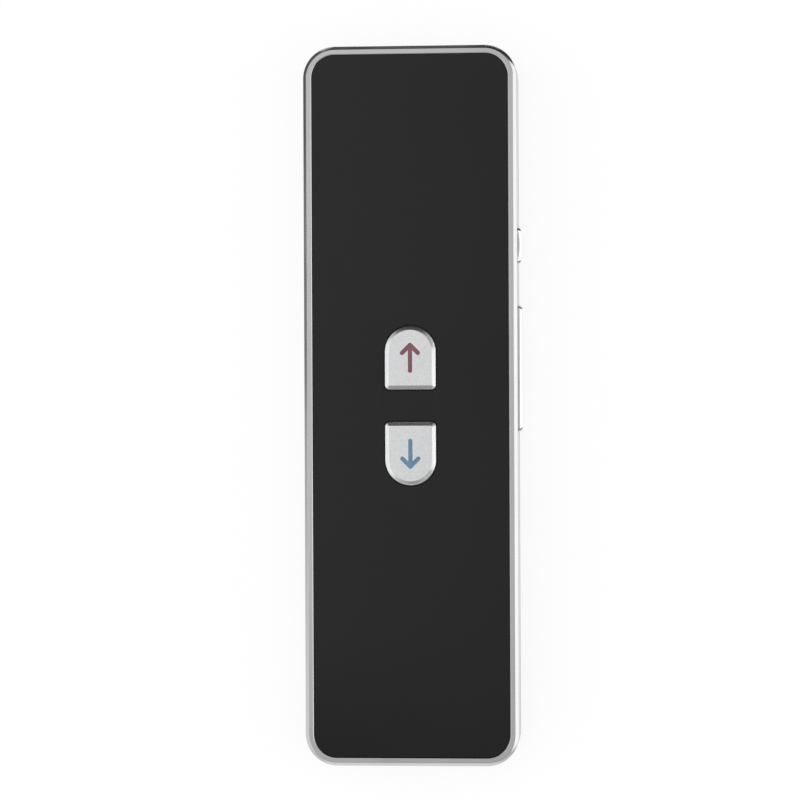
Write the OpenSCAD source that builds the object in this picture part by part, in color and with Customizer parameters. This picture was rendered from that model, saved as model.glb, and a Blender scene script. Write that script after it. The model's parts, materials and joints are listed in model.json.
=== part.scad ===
// Handheld voice translator: a slim two-key handset with a plated frame, a black
// front panel, a rear cover, two side keys and the electronics that make it work.
// Millimetres. The rear face lies on z = 0 and is centred on the origin. The front
// panel faces +z, the top end points along +y and the side keys are on +x.

/* [Body] */
// Length from the top end to the bottom end
body_l = 140; // [136:1:150]
// Width across the frame
body_w = 41.6; // [41:0.2:46]
// Thickness from the rear face to the frame's lip
body_t = 11; // [10.8:0.1:12.5]
// Radius of the corners, seen from the front
corner_r = 6.2; // [5.8:0.1:7.5]

/* [Frame] */
// Width of the flat lip round the front panel
lip_w = 0.95; // [0.85:0.05:1.2]
// Size of the chamfer round the front edge
edge_c = 0.7; // [0.4:0.05:0.8]
// Reach of the ledge that carries the deck
ledge_w = 0.9; // [0.6:0.1:1]
// Thickness of that ledge
ledge_t = 0.8; // [0.6:0.1:1]

/* [Front panel] */
// Thickness of the front panel
panel_t = 1; // [0.8:0.1:1.2]
// Depth of the panel's face below the lip
panel_sink = 0.1; // [0.05:0.05:0.2]
// Gap round the panel's edge
panel_gap = 0.05; // [0.03:0.01:0.15]
// Thickness of the adhesive sheet under the panel
tape_t = 0.2; // [0.1:0.05:0.3]

/* [Inner deck] */
// Thickness of the deck's plate
deck_t = 1; // [0.8:0.1:1.2]
// Outer radius of the corner bosses
boss_r = 2.2; // [1.9:0.1:2.3]
// Radius of the posts that the board is screwed to
post_r = 1.6; // [1.4:0.1:1.9]

/* [Rear cover] */
// Distance from the parting line to the charging socket's shell
parting_gap = 1.1; // [1:0.1:1.3]
// Radius of the rear edge
rear_edge_r = 2; // [1:0.1:2.3]
// Thickness of the rear cover's floor
floor_t = 1.2; // [1:0.1:1.3]
// Height of the tongue that enters the frame
tongue_h = 0.5; // [0.3:0.1:0.5]
// Thickness of that tongue
tongue_t = 0.8; // [0.6:0.1:1]

/* [Front keys] */
// Width of a front key
key_w = 9.9; // [9:0.1:11]
// Length of a front key, over its arch
key_l = 12.3; // [11.5:0.1:13]
// Radius of the corners at a key's flat end
key_corner_r = 0.9; // [0.8:0.1:1.2]
// Width of the bevel round a key's face, seen from the front
key_bevel_w = 0.75; // [0.4:0.05:0.8]
// Height of that bevel
key_bevel_h = 0.6; // [0.3:0.05:0.8]
// Height of a key's face above the front panel
key_rise = 1; // [0.8:0.1:1.4]
// Distance between the centres of the two front keys
key_pitch = 18.6; // [17.5:0.1:22]
// Gap round a front key in the front panel
key_gap = 0.2; // [0.15:0.05:0.3]
// Reach of the flange that keeps a front key in
key_flange_w = 0.8; // [0.5:0.1:0.9]
// Travel of a front key
key_travel = 0.3; // [0.2:0.05:0.4]

/* [Key marks] */
// Length of the arrow on a front key
mark_l = 5.8; // [5:0.1:6.5]
// Width of the arrow's head
mark_w = 3.9; // [3:0.1:4.5]
// Width of the arrow's strokes
mark_stroke = 0.8; // [0.6:0.05:0.9]
// Depth of the engraving
mark_depth = 0.14; // [0.1:0.01:0.2]
// Depth of the paint's face below the key's face
mark_sink = 0.04; // [0.02:0.01:0.06]

/* [Side keys] */
// Length of the power key
power_key_l = 7.8; // [7:0.1:9]
// Distance from the top end to the power key's centre
power_key_down = 38.8; // [37.6:0.1:40]
// Length of the volume rocker
rocker_l = 25.2; // [24:0.1:27]
// Distance from the top end to the volume rocker's centre
rocker_down = 62.8; // [61:0.1:64]
// Height of both side keys across the frame
side_key_h = 2.6; // [2.2:0.1:2.7]
// Radius of the side keys' corners
side_key_r = 0.6; // [0.3:0.1:1]
// Height of the volume rocker above the frame
rocker_rise = 0.8; // [0.5:0.1:1.1]
// Height of the power key's crest above the frame
power_rise = 0.85; // [0.5:0.05:1.1]
// Gap round a side key in the frame
side_gap = 0.15; // [0.12:0.01:0.2]
// Travel of the power key
side_travel = 0.25; // [0.15:0.05:0.3]
// Distance from each end of the rocker to the nib that presses a switch
nib_in = 3.6; // [3:0.1:4.6]
// Radius of the rocker's pin
pin_r = 0.4; // [0.3:0.05:0.45]

/* [Main board] */
// Thickness of the main board
board_t = 1; // [0.8:0.1:1.2]
// Gap between the board's edge and a side key that is pressed
board_clear = 0.65; // [0.5:0.05:0.8]
// Height of a side switch under the board
side_switch_h = 1.9; // [1.8:0.1:2]
// Height of a front switch over the board
front_switch_h = 1.3; // [1.2:0.05:1.5]

/* [Battery] */
// Gap between the battery cell and the speaker's collar
cell_speaker_gap = 9.1; // [8:0.1:30]
// Distance from the board's lower edge to the battery cell
cell_board_gap = 14.9; // [14:0.1:20]
// Gap between the battery cell and the side switches
cell_side_gap = 2.1; // [1.6:0.1:6]
// Gap between the battery cell and the main board, in which the cell may swell
cell_swell = 0.6; // [0.45:0.05:1.2]
// Thickness of the foam under it
foam_t = 0.3; // [0.2:0.1:0.4]

/* [Speaker] */
// Radius of the speaker
speaker_r = 10; // [8:0.5:11]
// Depth of the speaker's basket
speaker_t = 3.4; // [3:0.1:3.8]
// Distance from the top end to the speaker's centre
speaker_down = 23; // [21:0.5:23]
// Radius of a hole in the speaker grille
grille_hole_r = 0.55; // [0.4:0.05:0.65]
// Distance between neighbouring grille holes
grille_pitch = 1.9; // [1.7:0.1:2.4]

/* [Charging socket] */
// Width of the socket's shell
socket_w = 7.5; // [7:0.1:8]
// Height of the socket's shell
socket_h = 2.5; // [2.4:0.1:2.6]
// Depth of the socket's shell
socket_l = 5.6; // [5:0.1:6]

/* [Hidden] */
$fn = 64;

// Clearances
deck_gap = 0.1;      // deck to frame, and tongue to frame
slide_gap = 0.05;    // a stem in its guide
stop_gap = 0.1;      // a flange to the wall that stops it
touch_gap = 0.05;    // a nib to the stem that it presses
tape_in = 0.3;       // the adhesive's edge to the edge of what it sticks to
pin_fit = 0.02;      // the pin in the frame's ears
pin_play = 0.05;     // the pin in the rocker
thread_fit = 0.03;   // a screw in its boss
through_fit = 0.1;   // a screw in the hole that it passes through
eps = 0.01;          // overrun of a cut

// Plan of the body
half_w = body_w / 2;
half_l = body_l / 2;
wall_t = lip_w + edge_c;
inner_x = half_w - wall_t;
inner_y = half_l - wall_t;
inner_r = corner_r - wall_t;
tongue_out = inner_r - deck_gap;
tongue_in = tongue_out - tongue_t;
boss_gap = 0.18;
corner_room = min(inner_r - ledge_w, tongue_in) - boss_r - boss_gap;
screw_x = half_w - corner_r + corner_room / sqrt(2);
screw_y = half_l - corner_r + corner_room / sqrt(2);

// Heights, from the front down
panel_top = body_t - panel_sink;
panel_low = panel_top - panel_t;
deck_top = panel_low - tape_t;
deck_low = deck_top - deck_t;
key_top = panel_top + key_rise;
flange_t = 0.5;
flange_low = panel_low - stop_gap - flange_t;
front_nib_h = 0.25;
front_nib_r = 1.5;
front_stem_out = key_travel + touch_gap;
board_top = flange_low - front_nib_h - front_stem_out - front_switch_h;
board_low = board_top - board_t;
board_room = deck_low - board_top;
side_z = board_low - side_switch_h / 2;
socket_low = board_low - socket_h;
rear_h = socket_low - parting_gap;
rear_edge = min(rear_edge_r, rear_h - 0.4);

// Rear screws
screw_r = 0.8;
screw_head_r = 1.5;
screw_head_t = 0.7;
screw_sink = 0.2;
head_room = screw_head_r + 0.15;
rear_boss_top = 4.8;
screw_tip = deck_low - 0.8;
screw_blind = 0.3;   // depth of a hole past the screw's tip
recess_w = 0.36;

// Side keys
power_y = half_l - power_key_down;
rocker_y = half_l - rocker_down;
side_flange_t = 0.55;
side_flange_w = 0.5;
key_back_x = inner_x - stop_gap - side_flange_t;
nib_l = 0.3;
nib_w = 1.3;
nib_offset = rocker_l / 2 - nib_in;
side_stem_out = 1.3;
side_switch_l = 3;
switch_face_x = key_back_x - nib_l - side_stem_out;
lug_r = 0.85;
pin_x = key_back_x - lug_r - touch_gap;
ear_t = 0.6;
ear_w = 2.4;
lug_w = 2.4;
ear_reach = side_key_h / 2 + side_gap;
notch_gap = 0.5;     // a notch to the rocker's ears on either side

// Main board
board_x = inner_x - stop_gap - side_flange_t - side_travel - board_clear;
speaker_y = half_l - speaker_down;
board_end = speaker_y - speaker_r - 1;
board_start = -inner_y + 1.5;
board_cut = boss_r + 0.4;
post_in = 3.1;       // a post to the board's long edge
post_places = [
    [-board_x + post_in, board_start + 8.8], [board_x - post_in, board_start + 8.8],
    [-board_x + post_in, board_end - 4], [post_in, board_end - post_in]
];
board_screw_r = 0.6;
board_screw_head_r = 1.15;
board_screw_head_t = 0.4;

// Key switches: size of the base, cavity radius, cavity floor, stem radius and play over the
// stem's flange. The rocker's stems rest at mid travel, so they have more play.
front_switch = [[4.5, 4.5, front_switch_h], 1.95, 0.15, 1, 0.03];
power_switch = [[side_switch_h, 4.6, side_switch_l], 0.72, 1.95, 0.5, 0.03];
rocker_switch = [[side_switch_h, 4.6, side_switch_l], 0.72, 1.65, 0.5, 0.3];
ceiling_t = 0.4;     // wall of a base over its cavity
stem_flange_t = 0.22;
dome_t = 0.08;
dome_fit = 0.08;     // gap round a dome's foot
dome_gap = 0.02;     // gap over a dome's crown
upper_key_y = key_pitch / 2;

// Speaker
gasket_t = 0.4;
mesh_t = 0.12;
mesh_r = speaker_r - 1.6;
basket_z = floor_t + gasket_t;
basket_wall = 0.7;
basket_top = basket_z + speaker_t;
magnet_in = 4;       // the magnet's edge to the basket's edge
magnet_r = speaker_r - magnet_in;
magnet_t = 1.4;
terminal_size = [5, 2.4, 0.4];
terminal_x = -4;
terminal_y = speaker_y - speaker_r + 1.6;
speaker_lead_r = 0.35;
speaker_lead_gap = 2;
speaker_lead_bend = 1;
collar_in = speaker_r + slide_gap;
collar_h = 2.4;
collar_t = 0.8;
grille_r = mesh_r - 1.2;

// Battery
cell_left = -board_x + 0.9;
cell_w = switch_face_x - side_switch_l - cell_side_gap - cell_left;
cell_x = cell_left + cell_w / 2;
cell_end = board_start + cell_board_gap;
cell_l = speaker_y - collar_in - collar_t - cell_speaker_gap - cell_end;
cell_y = cell_end + cell_l / 2;
cell_z = floor_t + foam_t;
cell_t = board_low - cell_swell - cell_z;
cell_corner_r = 1.2;
foam_in = 2.5;       // the foam's edge to the cell's edge
fence_h = 1.2;
fence_t = 0.7;
fence_gap = 0.2;
fence_l = 6;
lead_r = 0.4;
lead_pitch = 1;
lead_bend = 1.5;
lead_drop = 1.5;     // from the board down to the wires
lead_z = board_low - lead_drop;
protection_in = 4;   // the protection board's ends to the cell's edges
protection_z = cell_z + 0.4;
protection_size = [cell_w - 2 * protection_in, 0.9, lead_z + lead_r - protection_z];
lead_x = cell_x + cell_w / 2 - 8.8;
lead_y = cell_end - protection_size[1] - touch_gap;
plug_size = [4, 3.4, 1.7];
plug_post = 10;      // a post's axis to the plug's face that the wires enter
plug_x = -board_x + post_in + plug_post;
plug_y = cell_end - 5;
plug_depth = 3;      // length of the plug inside its socket
plug_floor = 0.45;   // wall of the socket under the plug
battery_socket_size = [6.4, 4.6, lead_drop + plug_size[2] / 2 + plug_floor];

// Charging socket and microphone
socket_wall = 0.3;
socket_cut = 0.65;
socket_gap = 0.2;
socket_mouth = -half_l + 0.6;
socket_back = socket_mouth + socket_l - socket_wall;
tongue_size = [3.7, 3.6, 0.6];
tongue_foot = [5, 0.8, 1.2];
tongue_z = socket_low + 1.2;
contact_size = [0.3, 2.4, 0.08];
contact_pitch = 0.65;
mic_x = 9;
mic_size = [3.8, 3, 1.1];
mic_port_r = 0.5;
boot_wall = 0.6;
mic_y = board_start + 2.6;
mic_port_z = board_low - mic_size[2] - boot_wall;
port_hole_r = 0.3;

// Parts on the board's front: [x, y] of the centre, then the size
processor_at = [-board_x + 8.6, board_end - 14];
processor_size = [8, 8, 0.9];
memory_at = processor_at - [1, 16];
memory_size = [6, 5, 0.8];
power_chip_at = [memory_at[0], -upper_key_y - 16.7];
power_chip_size = [4, 4, 0.8];
inductor_at = power_chip_at + [6.5, 0];
inductor_size = [4, 4, 1];
groove_r = 1.7;
groove_w = 0.3;
groove_depth = 0.15;
radio_at = [board_x - 8.1, board_end - 13];
radio_size = [11, 13, 0.5];
shield_down = 1.5;   // the shield's centre below the module's
shield_at = radio_at - [0, shield_down];
shield_gap = 0.15;   // the shield to the deck
shield_size = [10, 9, board_room - radio_size[2] - shield_gap];
shield_wall = 0.2;
antenna_at = [board_x - 4.5, board_end - 2];
antenna_size = [5, 1.6, 0.9];
crystal_at = processor_at - [6.2, 3];
crystal_size = [2.5, 3.2, 0.7];
led_y = board_end - 9;
led_size = [1.6, 0.8, 0.6];
guide_r = 0.8;
guide_foot_r = 1.2;
row_gap = 2.5;       // a chip's edge to the middle of its row of small parts
capacitor_size = [0.9, 1.6, 0.8];
capacitor_pitch = 1.7;
capacitor_rows = [
    [processor_at - [0, processor_size[1] / 2 + row_gap], 5],
    [power_chip_at - [0, power_chip_size[1] / 2 + row_gap], 4],
    [[0, board_start + row_gap], 3]
];
resistor_size = [0.55, 1.05, 0.35];
resistor_pitch = 1.1;
resistor_rows = [
    [memory_at - [0, memory_size[1] / 2 + row_gap], 6],
    [power_chip_at + [0, power_chip_size[1] / 2 + row_gap], 6],
    [[-power_chip_at[0], power_chip_at[1]], 5]
];

// ---- Shared shapes ----

// A rounded rectangle, centred
module rounded_plan(w, l, r) {
    square([w - 2 * r, l], center = true);
    square([w, l - 2 * r], center = true);
    for (x = [-1, 1], y = [-1, 1])
        translate([x * (w / 2 - r), y * (l / 2 - r)]) circle(r);
}

// The body's outline, drawn in by a distance
module body_plan(inset) {
    rounded_plan(body_w - 2 * inset, body_l - 2 * inset, corner_r - inset);
}

// Carries a profile round the body's outline. The profile's x is the distance from the
// centre of a corner's arc, so corner_r is the outside, and its y is the height.
module swept_round_body() {
    side_x = half_w - corner_r;
    side_y = half_l - corner_r;
    for (turn = [0, 180]) rotate(turn) {
        translate([side_x, side_y]) rotate_extrude(angle = 90) children();
        translate([-side_x, side_y]) rotate(90) rotate_extrude(angle = 90) children();
        translate([side_x, side_y]) rotate([90, 0, 0]) linear_extrude(2 * side_y) children();
        translate([-side_x, side_y]) rotate([90, 0, 90]) linear_extrude(2 * side_x) children();
    }
}

// A front key's outline, centred, with its arch towards +y
module key_plan(grow = 0) {
    r = key_corner_r + grow;
    arch_r = key_w / 2 + grow;
    arch_y = key_l / 2 - key_w / 2;
    foot_y = -key_l / 2 - grow;
    translate([0, arch_y]) circle(arch_r);
    translate([-arch_r, foot_y + r]) square([2 * arch_r, arch_y - foot_y - r]);
    translate([-arch_r + r, foot_y]) square([2 * (arch_r - r), 2 * r]);
    for (x = [-1, 1]) translate([x * (arch_r - r), foot_y + r]) circle(r);
}

// Carries a profile round a front key's outline. The profile's x runs from 0 to key_corner_r.
module swept_round_key() {
    r = key_corner_r;
    arch_y = key_l / 2 - key_w / 2;
    side_x = key_w / 2 - r;
    foot_y = -key_l / 2 + r;
    translate([0, arch_y]) rotate_extrude(angle = 180) translate([side_x, 0]) children();
    translate([side_x, foot_y]) rotate([90, 0, -90]) linear_extrude(2 * side_x) children();
    for (side = [0, 1]) mirror([side, 0, 0]) {
        translate([side_x, arch_y]) rotate([90, 0, 0]) linear_extrude(arch_y - foot_y) children();
        translate([side_x, foot_y]) rotate(-90) rotate_extrude(angle = 90) children();
    }
}

// Turns a shape drawn for the upper key into its place over the upper or lower switch
module at_front_key(upper) {
    rotate(upper ? 0 : 180) translate([0, upper_key_y, 0]) children();
}

// A solid along x from a plan drawn as [y, z]
module along_x(x0, x1) {
    translate([x0, 0, 0]) rotate([90, 0, 90]) linear_extrude(x1 - x0) children();
}

// A solid along y from a plan drawn as [x, z]
module along_y(y0, y1) {
    translate([0, y1, 0]) rotate([90, 0, 0]) linear_extrude(y1 - y0) children();
}

// A cylinder wall
module tube(outer, inner, h) {
    difference() {
        cylinder(r = outer, h = h);
        translate([0, 0, -eps]) cylinder(r = inner, h = h + 2 * eps);
    }
}

// A block that stands on z = 0, centred in x and y
module block(size) {
    translate([0, 0, size[2] / 2]) cube(size, center = true);
}

// A straight stroke with round ends
module stroke(from, to, w) {
    run = to - from;
    translate(from) rotate(atan2(run[1], run[0])) translate([0, -w / 2]) square([norm(run), w]);
    for (end = [from, to]) translate(end) circle(w / 2);
}

// A wire in the x-y plane that runs along -y, turns and leaves along -x
module bent_wire(start, down, bend, across, r) {
    translate(start) rotate([90, 0, 0]) cylinder(r = r, h = down);
    translate(start - [bend, down, 0]) rotate(-90) rotate_extrude(angle = 90) translate([bend, 0]) circle(r);
    translate(start - [bend, down + bend, 0]) rotate([0, -90, 0]) cylinder(r = r, h = across);
}

// ---- Key switches, drawn with the stem along +z and the base on z = 0 ----

function base_size(s) = s[0];
function base_h(s) = s[0][2];
function cavity_r(s) = s[1];
function cavity_floor(s) = s[2];
function stem_r(s) = s[3];
function stem_play(s) = s[4];
function cavity_top(s) = base_h(s) - ceiling_t;
function flange_foot(s) = cavity_top(s) - stem_play(s) - stem_flange_t;

// A base with a round cavity and a hole for the stem
module switch_base(s) {
    color("dimgray") difference() {
        block(base_size(s));
        translate([0, 0, cavity_floor(s)]) cylinder(r = cavity_r(s), h = cavity_top(s) - cavity_floor(s));
        translate([0, 0, cavity_floor(s) + eps]) cylinder(r = stem_r(s) + slide_gap, h = base_h(s));
    }
}

// A stem that stands out of its base, with a flange under the base's ceiling
module switch_plunger(s, out) {
    color("white") translate([0, 0, flange_foot(s)]) {
        cylinder(r = stem_r(s), h = base_h(s) + out - flange_foot(s));
        cylinder(r = (stem_r(s) + cavity_r(s)) / 2, h = stem_flange_t);
    }
}

// A thin cap of a sphere that snaps flat and springs back
module switch_dome(s) {
    foot = cavity_r(s) - dome_fit;
    rise = flange_foot(s) - cavity_floor(s) - dome_gap;
    ball = (foot * foot + rise * rise) / (2 * rise);
    color("silver") translate([0, 0, cavity_floor(s)]) rotate_extrude() intersection() {
        translate([0, rise - ball]) difference() {
            circle(ball);
            circle(ball - dome_t);
        }
        square([foot, rise]);
    }
}

// Stands a switch on the board under the upper or lower key
module at_front_switch(upper) {
    translate([0, upper ? upper_key_y : -upper_key_y, board_top]) children();
}

// Lays a switch under the board with its stem towards a side key
module at_side_switch(y) {
    translate([switch_face_x - side_switch_l, y, side_z]) rotate([0, 90, 0]) children();
}

module front_plunger(upper) {
    at_front_switch(upper) switch_plunger(front_switch, front_stem_out);
}

module power_plunger() {
    at_side_switch(power_y) switch_plunger(power_switch, side_stem_out);
}

// Puts one of the rocker's two switches in its place: way is 1 for up and -1 for down
module at_rocker_switch(way) {
    at_side_switch(rocker_y + way * nib_offset) children();
}

module volume_plunger(way) {
    at_rocker_switch(way) switch_plunger(rocker_switch, side_stem_out - touch_gap);
}

// ---- Casing ----

module frame() {
    color("silver") difference() {
        union() {
            swept_round_body() {
                polygon([
                    [inner_r, rear_h], [corner_r, rear_h], [corner_r, body_t - edge_c],
                    [corner_r - edge_c, body_t], [inner_r, body_t]
                ]);
                translate([inner_r - ledge_w, deck_low - ledge_t]) square([ledge_w, ledge_t]);
            }
            rocker_ears();
        }
        along_x(inner_x - eps, half_w + eps) side_slot(rocker_y, rocker_l);
        along_x(inner_x - eps, half_w + eps) side_slot(power_y, power_key_l);
        along_y(-half_l - eps, -inner_y + eps)
            translate([0, socket_low + socket_h / 2])
                rounded_plan(socket_w + 2 * socket_gap, socket_h + 2 * socket_gap, socket_cut);
        translate([mic_x, -inner_y + eps, mic_port_z]) rotate([90, 0, 0])
            cylinder(r = mic_port_r, h = wall_t + 2 * eps);
        rocker_pin_hole(pin_r + pin_fit);
    }
}

// A side key's hole, drawn as [y, z]
module side_slot(y, l) {
    translate([y, side_z])
        rounded_plan(l + 2 * side_gap, side_key_h + 2 * side_gap, side_key_r + side_gap);
}

// Two ears inside the frame's wall that hold the rocker's pin
module rocker_ears() {
    reach = inner_x - pin_x + lug_r;
    for (up = [0, 1])
        translate([inner_x - reach, rocker_y - ear_w / 2, ear_z(up)])
            cube([reach + wall_t / 2, ear_w, ear_t]);
}

function ear_z(up) = up == 1 ? side_z + ear_reach : side_z - ear_reach - ear_t;

module rocker_pin_hole(r) {
    translate([pin_x, rocker_y, ear_z(0) - eps]) cylinder(r = r, h = ear_z(1) + ear_t - ear_z(0) + 2 * eps);
}

module front_panel() {
    color([0.08, 0.08, 0.08]) translate([0, 0, panel_low]) linear_extrude(panel_t) difference() {
        body_plan(wall_t + panel_gap);
        for (upper = [true, false]) at_front_key(upper) key_plan(key_gap);
    }
}

module panel_adhesive() {
    color("ivory") translate([0, 0, deck_top]) linear_extrude(tape_t) difference() {
        body_plan(wall_t + tape_in);
        for (upper = [true, false]) at_front_key(upper) key_plan(key_flange_w + tape_in);
        translate([0, led_y]) circle(guide_r + through_fit);
    }
}

module inner_deck() {
    color([0.2, 0.2, 0.22]) difference() {
        union() {
            translate([0, 0, deck_low]) linear_extrude(deck_t) body_plan(wall_t + deck_gap);
            for (x = [-1, 1], y = [-1, 1])
                translate([x * screw_x, y * screw_y, rear_boss_top])
                    cylinder(r = boss_r, h = deck_low - rear_boss_top + deck_t / 2);
            for (p = post_places)
                translate([p[0], p[1], board_top]) cylinder(r = post_r, h = board_room + deck_t / 2);
        }
        for (upper = [true, false])
            translate([0, 0, deck_low - eps]) linear_extrude(deck_t + 2 * eps)
                at_front_key(upper) key_plan(key_flange_w + side_gap);
        translate([0, led_y, deck_low - eps]) cylinder(r = guide_r + slide_gap, h = deck_t + 2 * eps);
        for (x = [-1, 1], y = [-1, 1])
            translate([x * screw_x, y * screw_y, rear_boss_top - eps])
                cylinder(r = screw_r + thread_fit, h = screw_tip + screw_blind - rear_boss_top);
        for (p = post_places)
            translate([p[0], p[1], board_top - eps])
                cylinder(r = board_screw_r + thread_fit, h = board_room + screw_blind);
    }
}

module rear_cover() {
    color([0.12, 0.12, 0.13]) difference() {
        union() {
            swept_round_body() {
                difference() {
                    translate([tongue_in, 0]) square([corner_r - tongue_in, rear_h]);
                    translate([corner_r - rear_edge, rear_edge]) difference() {
                        translate([0, -rear_edge - eps]) square(rear_edge + eps);
                        circle(rear_edge);
                    }
                }
                translate([tongue_in, 0]) square([tongue_t, rear_h + tongue_h]);
            }
            linear_extrude(floor_t) body_plan(corner_r - tongue_in - 0.2);
            for (x = [-1, 1], y = [-1, 1])
                translate([x * screw_x, y * screw_y, 0]) cylinder(r = boss_r, h = rear_boss_top);
            translate([0, speaker_y, 0]) tube(collar_in + collar_t, collar_in, floor_t + collar_h);
            battery_fence();
        }
        for (x = [-1, 1], y = [-1, 1]) translate([x * screw_x, y * screw_y, -eps]) {
            cylinder(r = screw_r + through_fit, h = rear_boss_top + 2 * eps);
            cylinder(r = head_room, h = screw_sink + screw_head_t + eps);
        }
        for (p = grille_places)
            translate([p[0], p[1] + speaker_y, -eps]) cylinder(r = grille_hole_r, h = floor_t + 2 * eps);
        translate([inner_x - deck_gap - tongue_t - eps, rocker_y - ear_w / 2 - notch_gap, rear_h])
            cube([tongue_t + deck_gap, ear_w + 2 * notch_gap, tongue_h + eps]);
    }
}

// Centres of the grille's holes: a honeycomb inside a circle
grille_rows = ceil(grille_r / (grille_pitch * sin(60)));
grille_columns = ceil(grille_r / grille_pitch);
grille_places = [
    for (row = [-grille_rows:grille_rows], column = [-grille_columns:grille_columns])
        let (p = [grille_pitch * (column + abs(row % 2) / 2), grille_pitch * sin(60) * row])
            if (norm(p) <= grille_r) p
];

// Low ribs on the floor at the battery's corners and at its upper end
module battery_fence() {
    out_x = cell_w / 2 + fence_gap;
    out_y = cell_l / 2 + fence_gap;
    translate([cell_x, cell_y, floor_t - eps]) {
        for (x = [0, 1], y = [0, 1]) mirror([x, 0, 0]) mirror([0, y, 0])
            translate([out_x, out_y - fence_l, 0]) cube([fence_t, fence_l + fence_t, fence_h + eps]);
        translate([-fence_l / 2, out_y, 0]) cube([fence_l, fence_t, fence_h + eps]);
    }
}

// A cross recess cut into a head whose face is at z = 0 and points down
module cross_recess(l, w, depth) {
    for (turn = [0, 90]) rotate(turn) translate([0, 0, -eps]) block([l, w, depth + eps]);
}

module rear_screws() {
    head_top = screw_sink + screw_head_t;
    color("gray") for (x = [-1, 1], y = [-1, 1]) translate([x * screw_x, y * screw_y, 0]) difference() {
        union() {
            translate([0, 0, screw_sink]) cylinder(r = screw_head_r, h = screw_head_t);
            translate([0, 0, head_top - eps]) cylinder(r = screw_r, h = screw_tip - head_top + eps);
        }
        translate([0, 0, screw_sink]) cross_recess(screw_head_r + 0.2, recess_w, screw_head_t / 2 + 0.05);
    }
}

module board_screws() {
    color("gray") for (p = post_places) translate([p[0], p[1], board_low]) difference() {
        union() {
            translate([0, 0, -board_screw_head_t]) cylinder(r = board_screw_head_r, h = board_screw_head_t);
            translate([0, 0, -eps]) cylinder(r = board_screw_r, h = board_t + board_room);
        }
        translate([0, 0, -board_screw_head_t])
            cross_recess(board_screw_head_r + 0.2, recess_w, board_screw_head_t / 2);
    }
}

module grille_mesh() {
    color("black") translate([0, speaker_y, floor_t]) cylinder(r = mesh_r, h = mesh_t);
}

// ---- Front keys ----

// An arrow that points to +y, centred
module arrow() {
    tip = [0, mark_l / 2 - mark_stroke / 2];
    barb = mark_w / 2 - mark_stroke / 2;
    stroke([0, -tip[1]], tip, mark_stroke);
    for (x = [-1, 1]) stroke(tip + [x * barb, -barb], tip, mark_stroke);
}

module key_cap(upper) {
    color("gainsboro") at_front_key(upper) difference() {
        union() {
            swept_round_key() polygon([
                [0, flange_low], [key_corner_r, flange_low], [key_corner_r, key_top - key_bevel_h],
                [key_corner_r - key_bevel_w, key_top], [0, key_top]
            ]);
            translate([0, 0, flange_low]) linear_extrude(key_top - flange_low) {
                side_x = key_w / 2 - key_corner_r;
                arch_y = key_l / 2 - key_w / 2;
                foot_y = -key_l / 2 + key_corner_r;
                translate([0, arch_y]) circle(side_x);
                translate([-side_x, foot_y]) square([2 * side_x, arch_y - foot_y]);
            }
            translate([0, 0, flange_low]) linear_extrude(flange_t) key_plan(key_flange_w);
            translate([0, 0, flange_low - front_nib_h]) cylinder(r = front_nib_r, h = front_nib_h + eps);
        }
        translate([0, 0, key_top - mark_depth]) linear_extrude(mark_depth + eps) arrow();
    }
}

module key_mark(upper) {
    color(upper ? [0.55, 0.16, 0.2] : [0.2, 0.42, 0.6]) at_front_key(upper)
        translate([0, 0, key_top - mark_depth]) linear_extrude(mark_depth - mark_sink) arrow();
}

// ---- Side keys ----

module side_key_plan(l, grow = 0) {
    rounded_plan(l + 2 * grow, side_key_h + 2 * grow, side_key_r + grow);
}

// The power key bulges to a crest at its middle
module power_key_cap() {
    end_rise = 0.2;
    bulge = power_rise - end_rise;
    half = power_key_l / 2;
    crest_r = (half * half + bulge * bulge) / (2 * bulge);
    color("gainsboro") translate([0, power_y, side_z]) {
        intersection() {
            along_x(key_back_x, half_w + power_rise) side_key_plan(power_key_l);
            translate([half_w + power_rise - crest_r, 0, -side_key_h])
                cylinder(r = crest_r, h = 2 * side_key_h, $fn = 200);
        }
        along_x(key_back_x, key_back_x + side_flange_t) side_key_plan(power_key_l, side_flange_w);
        along_x(key_back_x - nib_l, key_back_x + eps) square(nib_w, center = true);
    }
}

// The rocker is flat, with a ramp at each end
module volume_rocker_cap() {
    end_rise = 0.15;
    ramp = 1.3;
    half = rocker_l / 2;
    color("gainsboro") translate([0, rocker_y, side_z]) difference() {
        union() {
            intersection() {
                along_x(key_back_x, half_w + rocker_rise) side_key_plan(rocker_l);
                translate([0, 0, -side_key_h]) linear_extrude(2 * side_key_h) polygon([
                    [key_back_x, -half], [half_w + end_rise, -half], [half_w + rocker_rise, -half + ramp],
                    [half_w + rocker_rise, half - ramp], [half_w + end_rise, half], [key_back_x, half]
                ]);
            }
            for (side = [-1, 1]) translate([0, side * nib_offset, 0])
                along_x(key_back_x - nib_l, key_back_x + eps) square(nib_w, center = true);
            translate([pin_x, 0, -side_key_h / 2]) {
                cylinder(r = lug_r, h = side_key_h);
                translate([0, -lug_w / 2, 0]) cube([key_back_x - pin_x + eps, lug_w, side_key_h]);
            }
        }
        translate([pin_x, 0, -side_key_h]) cylinder(r = pin_r + pin_play, h = 2 * side_key_h);
    }
}

module rocker_pin() {
    color("gray") translate([pin_x, rocker_y, ear_z(0)]) cylinder(r = pin_r, h = ear_z(1) + ear_t - ear_z(0));
}

// ---- Main board and what is on it ----

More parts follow.
